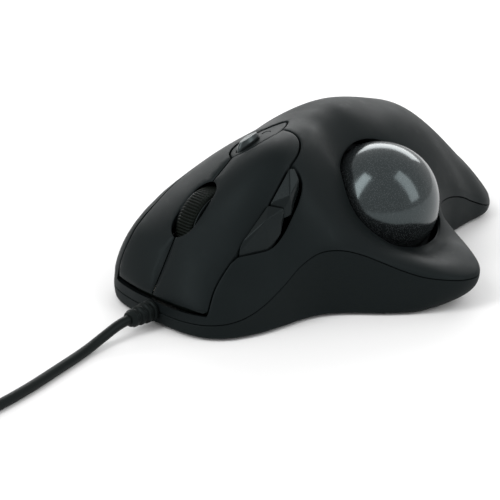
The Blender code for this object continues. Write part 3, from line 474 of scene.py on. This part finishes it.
def bevelled(obj, width, limit):
    """Rounds the edges that are bent by more than limit, in degrees."""
    modifier = obj.modifiers.new("bevel", "BEVEL")
    modifier.width = width * MM
    modifier.segments = 3
    modifier.limit_method = "ANGLE"
    modifier.angle_limit = math.radians(limit)
    modifier.harden_normals = True
    return obj


# Finishes

COOL = (0.84, 1.0, 1.03, 1)  # tint of the sheen on plastic and rubber
SLOW_SCALE = 60
SCUFF_SCALE = 420
LOW_SHADE = 0.82
HIGH_SHADE = 1.22
GRAIN_HEIGHT = 0.0002  # metres


def finish(name, colour, roughness, metallic=0.0, grain=2200, bump=0.05, spread=0.07, wear=0.0, coat=0.0,
           specular=0.5):
    """A moulded surface: fine grain, slow changes of gloss and shade, and spots rubbed smoother by wear."""
    material = bpy.data.materials.new(name)
    material.use_nodes = True
    nodes = material.node_tree.nodes
    link = material.node_tree.links.new
    shader = nodes["Principled BSDF"]
    shader.inputs["Metallic"].default_value = metallic
    shader.inputs["Coat Weight"].default_value = coat
    shader.inputs["Coat Roughness"].default_value = 0.06
    shader.inputs["Specular IOR Level"].default_value = specular
    if metallic == 0:
        shader.inputs["Specular Tint"].default_value = COOL
    place = nodes.new("ShaderNodeTexCoord")
    fine = noise(nodes, link, place, grain, 3)
    slow = noise(nodes, link, place, SLOW_SCALE, 4)
    scuff = noise(nodes, link, place, SCUFF_SCALE, 6)

    shade = nodes.new("ShaderNodeMix")
    shade.data_type = "RGBA"
    shade.inputs[6].default_value = (*[LOW_SHADE * c for c in colour], 1)
    shade.inputs[7].default_value = (*[HIGH_SHADE * c for c in colour], 1)
    link(slow.outputs["Fac"], shade.inputs[0])
    link(shade.outputs[2], shader.inputs["Base Color"])

    gloss = nodes.new("ShaderNodeMapRange")
    gloss.inputs["From Min"].default_value = 0.3
    gloss.inputs["From Max"].default_value = 0.7
    gloss.inputs["To Min"].default_value = max(roughness - spread, 0.02)
    gloss.inputs["To Max"].default_value = roughness + spread
    link(slow.outputs["Fac"], gloss.inputs["Value"])
    rub = nodes.new("ShaderNodeMapRange")
    rub.inputs["From Min"].default_value = 0.58
    rub.inputs["From Max"].default_value = 0.72
    rub.inputs["To Min"].default_value = 0.0
    rub.inputs["To Max"].default_value = -wear
    link(scuff.outputs["Fac"], rub.inputs["Value"])
    total = nodes.new("ShaderNodeMath")
    total.operation = "ADD"
    link(gloss.outputs["Result"], total.inputs[0])
    link(rub.outputs["Result"], total.inputs[1])
    link(total.outputs["Value"], shader.inputs["Roughness"])

    relief = nodes.new("ShaderNodeBump")
    relief.inputs["Strength"].default_value = bump
    relief.inputs["Distance"].default_value = GRAIN_HEIGHT
    link(fine.outputs["Fac"], relief.inputs["Height"])
    link(relief.outputs["Normal"], shader.inputs["Normal"])
    return material


def noise(nodes, link, place, scale, detail):
    found = nodes.new("ShaderNodeTexNoise")
    found.inputs["Scale"].default_value = scale
    found.inputs["Detail"].default_value = detail
    link(place.outputs["Object"], found.inputs["Vector"])
    return found


def speckled(material, scale, size, colour):
    """Adds small light flecks to the shade of a finish."""
    nodes = material.node_tree.nodes
    link = material.node_tree.links.new
    shader = nodes["Principled BSDF"]
    base = shader.inputs["Base Color"].links[0].from_socket
    place = nodes.new("ShaderNodeTexCoord")
    cells = nodes.new("ShaderNodeTexVoronoi")
    cells.inputs["Scale"].default_value = scale
    link(place.outputs["Object"], cells.inputs["Vector"])
    dot = nodes.new("ShaderNodeMapRange")
    dot.inputs["From Min"].default_value = size
    dot.inputs["From Max"].default_value = size * 0.4
    link(cells.outputs["Distance"], dot.inputs["Value"])
    mix = nodes.new("ShaderNodeMix")
    mix.data_type = "RGBA"
    mix.inputs[7].default_value = (*colour, 1)
    link(dot.outputs["Result"], mix.inputs[0])
    link(base, mix.inputs[6])
    link(mix.outputs[2], shader.inputs["Base Color"])


# Outside skins


def ball_opening(radius, depth, count=144):
    """Where a cylinder round the ball's axis meets the skin, or the surface this far under it."""
    side, up, along = frame_of(BALL_AXIS)
    heights = np.linspace(-6, 16, 221)
    found = []
    for i in range(count):
        angle = 2 * math.pi * i / count
        out = BALL + radius * (math.cos(angle) * side + math.sin(angle) * up)
        ray = out + heights[:, None] * along
        over = ray[:, 2] - skin(ray, depth)
        first = np.nonzero((over[:-1] <= 0) & (over[1:] > 0))[0][0]
        part = over[first] / (over[first] - over[first + 1])
        found.append(ray[first] + part * (ray[first + 1] - ray[first]))
    return np.array(found)


def kept_in(plan, least):
    """Plan points moved in where they are nearer the rim than least."""
    start = RIM_CURVE[:, :2]
    step = np.roll(start, -1, 0) - start
    moved = []
    for point in plan:
        part = np.clip(((point - start) * step).sum(1) / (step**2).sum(1), 0, 1)
        nearest = start + part[:, None] * step
        apart = np.linalg.norm(point - nearest, axis=1)
        near = int(apart.argmin())
        if apart[near] < least:
            point = nearest[near] + least * (point - nearest[near]) / apart[near]
        moved.append(point)
    return np.array(moved)


def front_edge(inset):
    """The stretch of rim along the front of both keys, right to left, moved in."""
    moved = RIM_CURVE[:, :2] + inset * inward(RIM_CURVE)
    return moved[: 5 * PER + 1]


def deck_hole(front_inset, corner_drop=0.0):
    """The cover's opening for the keys, the panel and the thumb keys, anticlockwise from the front right."""
    front = front_edge(front_inset)
    left = beside(open_curve(LEFT_SIDE[:3], PER), -GAP)[:-1]
    rear = beside(open_curve(LEFT_REAR, PER), -GAP)[1:-1]
    tail = beside(open_curve(PANEL_TAIL, PER), -GAP)
    right_rear = beside(open_curve(RIGHT_REAR, PER), GAP)[::-1][1:-1]
    right = beside(open_curve(RIGHT_SIDE, PER), GAP)[::-1]
    fade = 1 - np.arange(PER) / PER
    left[:PER, 1] -= corner_drop * fade
    right[-PER:, 1] -= corner_drop * fade[::-1]
    return np.vstack([front, left, open_curve(WINDOW, 4), rear, tail, right_rear, right])


RIM_ROWS = (0.15, 0.45, 0.9, 1.6, 2.5, 3.6, 4.8, 6.2, 7.6)


def top_cover(material):
    rim = RIM_CURVE
    inset = np.column_stack([rim[:, :2] + WALL * inward(rim), rim[:, 2]])
    hole_top = deck_hole(LIP_INSET)
    hole_low = kept_in(deck_hole(WALL + 0.4, 1.6), WALL + 0.4)
    low_z = skin(hole_low, WALL)
    front = 5 * PER + 1
    top_z = skin(hole_top)
    top_z[:front] = top_z[:front].min()
    low_z[: front + 1] = top_z[0] - 0.5
    low_z[-1] = top_z[0] - 0.5
    opening = ball_opening(OPENING_R, 0)
    hole = np.column_stack([hole_top, top_z])
    edges = [hole[front:], opening]
    sunk_hole = np.vstack([hole[:front], hole[front:] - (0, 0, FILLET)])
    outer = [rim, sunk_hole, opening - (0, 0, FILLET)]
    inner = [inset, np.column_stack([hole_low, low_z]), ball_opening(OPENING_R, WALL)]
    plan_outer = [loop[:, :2] for loop in outer]
    plan_inner = [loop[:, :2] for loop in inner]
    rows = edge_rows(plan_outer, edges)
    more = inner_points(plan_outer, LATTICE, RIM_ROWS)
    outer_more = rounded(lifted(np.vstack([rows, more])), [hole, opening])
    inner_more = lifted(inner_points(plan_inner, UNDER_LATTICE, (2.8, 5.4)), WALL)
    obj = shell("cover_skin", outer, inner, outer_more, inner_more, material, "housing")
    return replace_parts(obj, "top_cover")


def base_shell(material):
    rim = RIM_CURVE
    bottom = closed_curve(BOTTOM, PER)
    normal = inward(np.column_stack([bottom, bottom[:, 0]]))
    top = rim[:, 2] - 0.35
    levels = [
        np.column_stack([bottom + 0.9 * normal, np.full(len(rim), BASE_BOTTOM)]),
        np.column_stack([bottom + 0.35 * normal, np.full(len(rim), BASE_BOTTOM + 0.08)]),
        np.column_stack([bottom + 0.08 * normal, np.full(len(rim), BASE_BOTTOM + 0.28)]),
    ]
    for share in np.linspace(0, 1, 13):
        turn = share * math.pi / 2
        plan = bottom + (rim[:, :2] - bottom) * math.sin(turn)
        height = BASE_BOTTOM + 0.5 + (top - 0.15 - BASE_BOTTOM - 0.5) * (1 - math.cos(turn))
        levels.append(np.column_stack([plan, height]))
    levels.append(np.column_stack([rim[:, :2] + 0.15 * inward(rim), top]))
    walls = []
    for level in levels[:5:-2]:
        height = np.maximum(level[:, 2], FLOOR_TOP + 0.3)
        walls.append(np.column_stack([level[:, :2] + WALL * inward(rim), height]))
    floor_edge = np.column_stack([bottom + (WALL + 0.3) * normal, np.full(len(rim), FLOOR_TOP)])
    rows = levels + walls + [floor_edge]
    count = len(rim)
    faces = []
    for row in range(len(rows) - 1):
        for i in range(count):
            a, b = row * count + i, row * count + (i + 1) % count
            faces.append((a, b, b + count, a + count))
    holes = floor_holes()
    first = len(rows) * count
    under = triangles([rows[0][:, :2], *holes], np.zeros((0, 2)))
    over = triangles([rows[-1][:, :2], *holes], np.zeros((0, 2)))
    hole_points = np.vstack(holes)
    extra = len(hole_points)
    points = np.vstack([
        *rows,
        np.column_stack([hole_points, np.full(extra, BASE_BOTTOM)]),
        np.column_stack([hole_points, np.full(extra, FLOOR_TOP)]),
    ])
    last_row = (len(rows) - 1) * count
    for face in under:
        faces.append([i if i < count else first + i - count for i in face])
    for face in over:
        faces.append([last_row + i if i < count else first + extra + i - count for i in face])
    start = first
    for hole in holes:
        for i in range(len(hole)):
            a, b = start + i, start + (i + 1) % len(hole)
            faces.append((a, b, b + extra, a + extra))
        start += len(hole)
    obj = make("base_skin", points, turned_alike(faces), material, "housing")
    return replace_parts(obj, "base_shell")


SCREWS = [(-20.0, 50.0), (21.0, 46.0), (20.0, -42.0), (-44.0, 1.5)]
SCREW_HOLE_R = 1.7
# Place and width of each foot. The two narrow ones are round.
FEET = [(-6.0, 57.0, 12.0), (-40.0, 9.0, 6.5), (24.0, -14.0, 6.5), (-2.0, -58.0, 12.0)]
ROUND_FOOT_R = 3.4
LONG_FOOT_HALF = 2.6


def oval(middle, half_x, half_y, count=48):
    turns = 2 * math.pi * np.arange(count) / count
    return np.array(middle) + np.column_stack([half_x * np.cos(turns), half_y * np.sin(turns)])


def floor_holes():
    """Holes in the floor, to push the ball out and for the screws."""
    screws = [oval(screw, SCREW_HOLE_R, SCREW_HOLE_R, 24) for screw in SCREWS]
    return [oval(BALL[:2], PUSH_HOLE_R, PUSH_HOLE_R), *screws]


def key(name, side, rear, mirror, material):
    """One main key: front edge, outer side, rear, the panel's side, the seam and the wheel slot's side."""
    flip = -1.0 if mirror else 1.0
    edge = front_edge(KEY_INSET)
    half = edge[2 * PER :] if mirror else edge[: 2 * PER + 1][::-1]
    half = np.vstack([[flip * GAP / 2, half[0, 1]], half[1:-1]])
    panel = mirrored(PANEL_SIDE) if mirror else PANEL_SIDE
    slot = open_curve(mirrored(SLOT_SIDE) if mirror else SLOT_SIDE, 3)
    slot_under = open_curve(mirrored(SLOT_UNDER) if mirror else SLOT_UNDER, 3)
    outline = np.vstack([
        half,
        open_curve(side, PER)[:-1],
        open_curve(rear, PER),
        beside(open_curve(panel, PER), flip * -GAP)[1:-1],
        [(flip * GAP / 2, SEAM_END)],
        slot,
    ])
    loops = [outline]
    under = np.vstack([outline[: -len(slot)], slot_under])
    more = np.vstack([edge_rows(loops, [outline]), inner_points(loops, LATTICE, RIM_ROWS)])
    low_more = inner_points(loops, UNDER_LATTICE, (2.8, 5.4))
    top = rounded(lifted(outline), [outline])
    low = lifted(under, WALL, KEY_LOWEST)
    top_more = rounded(lifted(more), [outline])
    body = name.replace("_key", "_button")
    obj = shell(f"{name}_skin", [top], [low], top_more, lifted(low_more, WALL, KEY_LOWEST), material, body)
    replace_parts(obj, name)
    corners = [(-1, -1), (1, -1), (1, 1), (-1, 1)]
    rows = []
    for z, reach in POST_ROWS:
        rows.append(np.array([(flip * POST_X + reach * a, POST_Y + reach * b, z) for a, b in corners]))
    stack(f"{name}_post", rows, material, body)


DPI_BUTTON = (0.0, 28.6)
DPI_HOLE = (2.1, 4.1)
LAMP = (0.0, 21.2)
LAMP_HOLE_R = 1.3
PANEL_SINK = 0.3


def centre_panel(material):
    side = open_curve(PANEL_SIDE, PER)
    tail = open_curve(PANEL_TAIL, PER)
    outline = np.vstack([side[:-1], [(0, PANEL_TIP)], side[::-1][1:] * (-1, 1), tail[1:-1]])
    holes = [oval(DPI_BUTTON, *DPI_HOLE), oval(LAMP, LAMP_HOLE_R, LAMP_HOLE_R)]
    loops = [outline, *holes]
    more = np.vstack([edge_rows(loops, loops[:2]), inner_points(loops, 1.2)])
    top = [rounded(lifted(loop, PANEL_SINK), loops[:2]) for loop in loops]
    low = [lifted(loop, WALL) for loop in loops]
    top_more = rounded(lifted(more, PANEL_SINK), loops[:2])
    obj = shell("panel_skin", top, low, top_more, np.zeros((0, 3)), material, "housing")
    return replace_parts(obj, "centre_panel")


# Radii and depths under the skin of the lamp's lens.
LENS_ROWS = [(0.5, 0.36), (1.05, 0.38), (1.15, 0.44), (1.18, 0.6), (1.18, 3.4)]
# Half widths, half lengths and depths under the skin of the resolution button, from the middle of its top
# outwards. A depth below 0 stands over the skin.
PILL_ROWS = [
    (0.5, 2.3, -1.5), (0.95, 2.85, -1.55), (1.15, 3.05, -1.5), (1.3, 3.2, -1.35), (1.8, 3.75, -0.55),
    (1.9, 3.87, -0.3), (1.93, 3.9, 0.1), (1.93, 3.9, 2.6),
]
STEM_HEIGHTS = (38.3, 36.4)


def panel_pieces(satin, lamp):
    """The resolution button, a crowned pill with a shallow dish and a stem, and the lamp's lens."""
    rows = [lifted(oval(DPI_BUTTON, wide, long), depth) for wide, long, depth in PILL_ROWS]
    stem = oval(DPI_BUTTON, 1.0, 1.0)
    for height in STEM_HEIGHTS:
        rows.append(np.column_stack([stem, np.full(len(stem), height)]))
    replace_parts(stack("dpi_pill", rows, satin, "resolution_button"), "dpi_button")
    rows = [lifted(oval(LAMP, radius, radius), depth) for radius, depth in LENS_ROWS]
    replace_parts(stack("lamp_lens", rows, lamp, "housing"), "indicator_lamp")


# Thumb keys, wheel and ball

BACK_KEY = [
    (-17.5, 30.4, 40.0), (-18.3, 29.2, 39.6), (-20.4, 29.7, 37.2), (-22.2, 34.6, 31.9), (-21.6, 36.6, 31.4),
    (-18.4, 38.9, 32.4),
]
BACK_KEY_TOP = (-21.75, 34.7, 34.4)
FORWARD_KEY = [
    (-18.5, 39.9, 32.2), (-22.0, 37.2, 31.6), (-22.6, 39.0, 28.0), (-21.9, 43.0, 22.9), (-18.1, 50.6, 21.6),
    (-17.9, 49.6, 23.9),
]
FORWARD_KEY_RIDGE = (-20.95, 43.2, 29.5)
CAP_DROP = 3.2


def cap(name, node, rim, peak, material, body):
    """A thumb key: facets from a peak down to the rim, then upright sides."""
    rim = np.array(rim, float)
    count = len(rim)
    low = rim - (0, 0, CAP_DROP)
    points = np.vstack([rim, low, [peak], [low.mean(0)]])
    faces = []
    for i in range(count):
        j = (i + 1) % count
        faces.append((i, j, 2 * count))
        faces.append((j, i, i + count, j + count))
        faces.append((j + count, i + count, 2 * count + 1))
    obj = make(name, points, turned_alike(faces), material, body)
    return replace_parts(bevelled(obj, 0.3, 12), node)


def wheel(hub, tyre):
    """The hub with a rim on each side, and the ribbed tyre between them."""
    rim = HUB_HALF - 0.08  # a little narrower than the CAD hub, to clear the keys when one is pressed
    half = [(1.8, rim - 0.3), (6.2, rim - 0.2), (6.8, rim - 1), (8.6, rim - 1), (9.1, rim - 0.15), (9.3, rim)]
    half += [(10.0, rim), (10.15, rim - 0.08), (10.18, rim - 0.3), (HUB_R, rim - 0.4)]
    profile = half + [(radius, -x) for radius, x in reversed(half)]
    across = (1, 0, 0)
    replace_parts(lathe("wheel_rim", profile, WHEEL, across, hub, "scroll_wheel", 96, True), "wheel_hub")
    half = [(HUB_R + 0.3, TYRE_HALF), (TYRE_R - 0.75, TYRE_HALF), (TYRE_R - 0.35, TYRE_HALF - 0.15)]
    half += [(TYRE_R - 0.1, TYRE_HALF - 0.5), (TYRE_R, TYRE_HALF - 1.1)]
    profile = half + [(radius, -x) for radius, x in reversed(half)]
    obj = lathe("wheel_tread", profile, WHEEL, across, tyre, "scroll_wheel", RIBS * 8, True, RIBS)
    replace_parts(obj, "wheel_tyre")


def sphere_profile(radius, count):
    """A half circle in equal steps, from the lower pole to the upper one."""
    turns = [math.pi * i / count for i in range(1, count)]
    bend = [(radius * math.sin(turn), -radius * math.cos(turn)) for turn in turns]
    return [(0, -radius), *bend, (0, radius)]


# Cable

ROUTE = [
    (-0.8, 74.6, 4.4), (-0.8, 75.6, 4.4), (-0.8, 77.6, 4.25), (-0.8, 80, 3.8), (-0.9, 83, 3.0),
    (-1.1, 86, 2.3), (-1.6, 89.5, 1.7), (-2.3, 93, 1.45), (-3.2, 97, 1.4), (-4.2, 101.5, 1.4),
    (-5.3, 106.5, 1.4), (-6.5, 112, 1.4), (-7.6, 118, 1.4), (-8.4, 124, 1.4), (-8.9, 129.5, 1.4),
    (-9.1, 135, 1.4), (-9.2, 140.1, 1.4),
]
COIL_ENTRY = (-9.15, 146, CABLE_R)
# Where each turn of the coil lies: its step out from the innermost radius, and its layer.
TURNS = [
    (4, 0), (3, 0), (2, 0), (1, 0), (0, 0), (0, 1), (0, 2), (1, 3), (2, 3), (3, 3), (4, 2), (3, 2), (2, 2),
    (1, 2), (1, 1), (2, 1), (3, 1), (4, 1),
]
TURN_POINTS = 24
LAST_TURN = 150  # degrees of the last turn that are laid before the plug


def smooth_step(value):
    value = min(max(value, 0.0), 1.0)
    return value * value * (3 - 2 * value)


def coil_points():
    """The rolled-up length, clockwise from the -X side. In the last quarter of each turn the cable first
    changes its layer and then its radius."""
    last = (len(TURNS) - 1) * TURN_POINTS + int(TURN_POINTS * LAST_TURN / 360)
    found = []
    for step in range(last + 1):
        number, part = divmod(step / TURN_POINTS, 1.0)
        here = TURNS[int(number)]
        after = TURNS[min(int(number) + 1, len(TURNS) - 1)]
        lift = smooth_step((part - 0.72) / 0.14)
        move = smooth_step((part - 0.86) / 0.14)
        radius = COIL_MIDDLE_R + 2 * CABLE_R * (here[0] + (after[0] - here[0]) * move - 2)
        height = CABLE_R + 2 * CABLE_R * (here[1] + (after[1] - here[1]) * lift)
        angle = math.pi - 2 * math.pi * step / TURN_POINTS
        found.append(COIL + (radius * math.cos(angle), radius * math.sin(angle), height))
    return np.array(found)


def cable(rubber):
    """The whole cable as one curve: from the strain relief, through the coil and into the plug."""
    coil = coil_points()
    ahead = np.array([math.sin(PLUG_TURN), -math.cos(PLUG_TURN), 0])
    end = [coil[-1] + ahead * reach for reach in (4.5, 9.0, 13.5, 15.0)]
    line = np.vstack([open_curve(ROUTE, 2), [COIL_ENTRY], coil, end])
    curve = bpy.data.curves.new("cord", "CURVE")
    curve.dimensions = "3D"
    curve.bevel_depth = CABLE_R * MM
    curve.bevel_resolution = 4
    curve.use_fill_caps = True
    spline = curve.splines.new("POLY")
    spline.points.add(len(line) - 1)
    for point, place in zip(spline.points, (line - CENTRE) * MM):
        point.co = (*place, 1)
    spline.use_smooth = True
    curve.materials.append(rubber)
    obj = bpy.data.objects.new("cord", curve)
    bpy.context.scene.collection.objects.link(obj)
    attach(obj, "housing")
    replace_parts(obj, "cable", "cable_coil")


def ring_of(middle, aside, upward, wide, tall, corner, steps=4):
    """A rectangle with round corners, square to the plug."""
    ring = []
    for a, b, start in ((1, 1, 0), (-1, 1, 90), (-1, -1, 180), (1, -1, 270)):
        for i in range(steps + 1):
            turn = math.radians(start + 90 * i / steps)
            x = a * (wide / 2 - corner) + corner * math.cos(turn)
            z = b * (tall / 2 - corner) + corner * math.sin(turn)
            ring.append(middle + aside * x + upward * z)
    return np.array(ring)


def plug(rubber, steel, ivory):
    """The plug's grip with its ribbed neck, the open metal shell, and the bar with four contacts in it."""
    ahead = np.array([math.sin(PLUG_TURN), -math.cos(PLUG_TURN), 0])
    aside = np.array([math.cos(PLUG_TURN), math.sin(PLUG_TURN), 0])
    upward = np.array([0.0, 0.0, 1.0])
    entry = COIL + aside * (COIL_MIDDLE_R + 4 * CABLE_R) + ahead * 13.2 + upward * PLUG_HEIGHT
    sections = [(0.0, 4.2, 3.8, 1.8), (0.3, 4.6, 4.2, 2.0)]
    for rib in range(4):
        reach = 1.4 + 2.0 * rib
        sections += [(reach, 5.6, 4.6, 2.1), (reach + 0.9, 5.7, 4.7, 2.1), (reach + 1.1, 4.9, 4.1, 1.9)]
        sections += [(reach + 1.7, 4.9, 4.1, 1.9)]
    sections += [(9.6, 7.2, 7.0, 1.8), (10.6, 14.0, 7.5, 1.6), (11.4, 15.3, 7.75, 1.6)]
    sections += [(12.4, 15.6, 7.8, 1.6)]
    sections += [(14.0, 15.6, 7.8, 1.6), (18, 15.0, 7.2, 1.6), (26, 15.0, 7.2, 1.6), (30, 15.6, 7.8, 1.6)]
    sections += [(32.6, 15.6, 7.8, 1.6), (33.0, 15.2, 7.4, 1.4)]
    rows = [ring_of(entry + ahead * r, aside, upward, w, h, c) for r, w, h, c in sections]
    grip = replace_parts(stack("plug_body", rows, rubber, "housing"), "plug_grip")
    outside = [(33.3, 12.0, 4.5), (52.1, 12.0, 4.5), (52.3, 11.8, 4.3)]
    hollow = [(52.3, 11.4, 3.9), (37.0, 11.4, 3.9)]
    rows = [ring_of(entry + ahead * r, aside, upward, w, h, 0.3, 3) for r, w, h in outside + hollow]
    shell_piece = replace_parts(stack("plug_tongue", rows, steel, "housing"), "plug_shell")
    middle = upward * 0.95
    rows = [ring_of(entry + ahead * r + middle, aside, upward, 11.2, 1.8, 0.2, 2) for r in (36.8, 51.3, 51.5)]
    bar = stack("plug_insulator", rows, ivory, "housing")
    contacts = []
    for number, x in enumerate((-3.5, -1.1, 1.1, 3.5), 1):
        at = aside * x - upward * 0.05
        rows = [ring_of(entry + ahead * r + at, aside, upward, 1.1, 0.3, 0.1, 2) for r in (42.0, 50.4, 50.6)]
        contacts.append(stack(f"plug_contact_{number}", rows, steel, "housing"))
    return [grip, shell_piece, bar, *contacts]


def strain_relief(rubber):
    """A tapering sleeve with four rings, round the cable where it leaves the base."""
    start = 66.8
    profile = [(0, 0), (2.85, 0), (3.0, 0.15), (3.0, 0.8), (2.85, 0.95), (2.25, 1.1), (2.2, 1.2), (2.2, 1.6)]
    profile += [(2.25, 1.75), (2.75, 1.95), (2.9, 2.1), (2.9, 2.8), (2.75, 2.95), (2.15, 3.2), (2.1, 3.3)]
    profile += [(2.1, 3.8), (2.15, 3.95), (2.55, 4.15), (2.7, 4.3), (2.7, 5.0), (2.55, 5.15), (2.05, 5.4)]
    profile += [(2.0, 5.5), (2.0, 6.0), (2.05, 6.15), (2.35, 6.35), (2.5, 6.5), (2.5, 7.2), (2.35, 7.4)]
    profile += [(2.1, 8.2), (1.9, 8.45), (1.5, 8.5), (0, 8.5)]
    obj = lathe("relief_sleeve", profile, (EXIT[0], start, EXIT[2]), (0, 1, 0), rubber, "housing", 48)
    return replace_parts(obj, "strain_relief")


def long_foot(x, y, wide, deep):
    """Outline of a bar with round ends, deep being half its depth."""
    found = []
    for sign, start in ((-1, math.pi / 2), (1, -math.pi / 2)):
        for i in range(13):
            turn = start + math.pi * i / 12
            found.append((x + sign * wide / 2 + deep * math.cos(turn), y + deep * math.sin(turn)))
    return np.array(found)


def feet(rubber):
    for number, (x, y, wide) in enumerate(FEET, 1):
        rows = []
        for grow, z in ((-0.12, 0.0), (0.0, 0.1), (0.0, BASE_BOTTOM - 0.3)):
            if wide < 2 * ROUND_FOOT_R:
                outline = oval((x, y), ROUND_FOOT_R + grow, ROUND_FOOT_R + grow)
            else:
                outline = long_foot(x, y, wide, LONG_FOOT_HALF + grow)
            rows.append(np.column_stack([outline, np.full(len(outline), z)]))
        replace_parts(stack(f"foot_pad_{number}", rows, rubber, "housing"), f"foot_{number}")


# Light and camera, in metres

CAMERA = (-0.32296, 0.37322, 0.22335)
TARGET = (-0.00451, 0.04577, 0.020)
LENS = 133.56
FLOOR_SHADE = 0.86
SKY = 0.72


def aim(obj, target):
    direction = Vector(target) - obj.location
    obj.rotation_euler = direction.to_track_quat("-Z", "Y").to_euler()


def softbox(name, place, target, size, energy):
    """A rectangular lamp of this size, turned to the target."""
    light = bpy.data.lights.new(name, "AREA")
    light.shape = "RECTANGLE"
    light.size, light.size_y = size
    light.energy = energy
    obj = bpy.data.objects.new(name, light)
    obj.location = place
    aim(obj, target)
    bpy.context.scene.collection.objects.link(obj)


def studio():
    """White floor and sky, three softboxes and the camera."""
    floor = bpy.data.materials.new("floor")
    floor.use_nodes = True
    shader = floor.node_tree.nodes["Principled BSDF"]
    shader.inputs["Base Color"].default_value = (FLOOR_SHADE, FLOOR_SHADE, FLOOR_SHADE, 1)
    shader.inputs["Roughness"].default_value = 0.9
    shader.inputs["Specular IOR Level"].default_value = 0.1
    mesh = bpy.data.meshes.new("floor")
    mesh.from_pydata([(-6, -6, 0), (6, -6, 0), (6, 6, 0), (-6, 6, 0)], [], [(0, 1, 2, 3)])
    mesh.materials.append(floor)
    obj = bpy.data.objects.new("floor", mesh)
    bpy.context.scene.collection.objects.link(obj)

    world = bpy.data.worlds.new("studio")
    world.use_nodes = True
    background = world.node_tree.nodes["Background"]
    background.inputs["Color"].default_value = (1, 1, 1, 1)
    background.inputs["Strength"].default_value = SKY
    bpy.context.scene.world = world
    middle = (0, 0.01, 0.03)
    softbox("behind", (1.05, -1.05, 0.72), middle, (2.4, 0.6), 20)
    softbox("left", (-1.2, -0.5, 0.95), middle, (0.6, 1.6), 9)
    softbox("right", (0.35, 1.3, 1.1), middle, (0.6, 1.6), 16)

    camera = bpy.data.cameras.new("camera")
    camera.lens = LENS
    camera.sensor_width = 36
    camera.clip_start = 0.01
    obj = bpy.data.objects.new("camera", camera)
    obj.location = CAMERA
    aim(obj, TARGET)
    bpy.context.scene.collection.objects.link(obj)
    bpy.context.scene.camera = obj
    bpy.context.scene.view_settings.view_transform = "Standard"


def repaint(finishes):
    """Gives the nodes that keep their own mesh the finish of what they are made of."""
    for name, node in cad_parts.items():
        if node.hide_render:
            continue
        chosen = "dark"
        for start, word in (
            ("switch", "chip"), ("sensor_chip", "chip"), ("controller", "chip"), ("plunger", "ivory"),
            ("cable_connector", "ivory"), ("bearing", "steel"), ("base_screw", "steel"),
            ("wheel_axle", "steel"), ("main_board", "board"), ("sensor_board", "board"),
            ("panel_board", "board"), ("sensor_window", "lens"),
        ):
            if name.startswith(start):
                chosen = word
        node.data.materials.clear()
        node.data.materials.append(finishes[chosen])


def main():
    black = (0.0046, 0.0062, 0.0065)
    body = finish("soft_touch", black, 0.5, grain=3200, bump=0.12, wear=0.05, specular=0.1)
    base = finish("base_plastic", (0.0044, 0.0060, 0.0062), 0.56, grain=2600, bump=0.15, specular=0.1)
    satin = finish("satin_plastic", (0.010, 0.0118, 0.0122), 0.3, grain=1500, bump=0.05, wear=0.06)
    gloss = finish("gloss_plastic", (0.0052, 0.0066, 0.0068), 0.3, grain=900, bump=0.03, spread=0.05,
                   wear=0.06, specular=0.14)
    rubber = finish("moulded_rubber", (0.0045, 0.0058, 0.0055), 0.42, grain=1800, bump=0.25, specular=0.1)
    tyre = finish("tyre_rubber", (0.0042, 0.0052, 0.0040), 0.5, grain=2400, bump=0.3, specular=0.07)
    ball = finish("ball_resin", (0.008, 0.0095, 0.010), 0.16, grain=900, bump=0.05, spread=0.04, wear=0.05,
                  specular=0.62)
    speckled(ball, 3000, 0.36, (0.055, 0.06, 0.062))
    finishes = {
        "dark": finish("inner_plastic", (0.005, 0.005, 0.0055), 0.7, grain=1500, bump=0.2, specular=0.2),
        "chip": finish("switch_plastic", (0.012, 0.012, 0.013), 0.45, grain=1500, bump=0.1, specular=0.3),
        "ivory": finish("ivory_plastic", (0.62, 0.59, 0.5), 0.4, grain=900, bump=0.08),
        "steel": finish("bright_steel", (0.42, 0.43, 0.44), 0.28, 1.0, grain=1400, bump=0.06, wear=0.06),
        "board": finish("circuit_board", (0.004, 0.007, 0.005), 0.5, grain=700, bump=0.2, specular=0.2),
        "lens": finish("sensor_lens", (0.28, 0.02, 0.02), 0.12, grain=600, bump=0.02, coat=0.5),
    }
    lamp = finish("lamp_lens", (0.004, 0.005, 0.006), 0.45, grain=600, bump=0.02, specular=0.1)

    top_cover(body)
    base_shell(base)
    key("left_key", LEFT_SIDE, LEFT_REAR, True, body)
    key("right_key", RIGHT_SIDE, RIGHT_REAR, False, body)
    centre_panel(body)
    panel_pieces(satin, lamp)
    cap("back_facet", "back_key", BACK_KEY, BACK_KEY_TOP, gloss, "back_thumb_button")
    cap("forward_facet", "forward_key", FORWARD_KEY, FORWARD_KEY_RIDGE, gloss, "forward_thumb_button")
    wheel(gloss, tyre)
    obj = lathe("ball_body", sphere_profile(BALL_R, 96), BALL, BALL_AXIS, ball, "track_ball", 160)
    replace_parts(obj, "ball")
    strain_relief(rubber)
    plug_pieces = plug(rubber, finishes["steel"], finishes["ivory"])
    cable(rubber)
    feet(rubber)
    repaint(finishes)
    studio()


main()
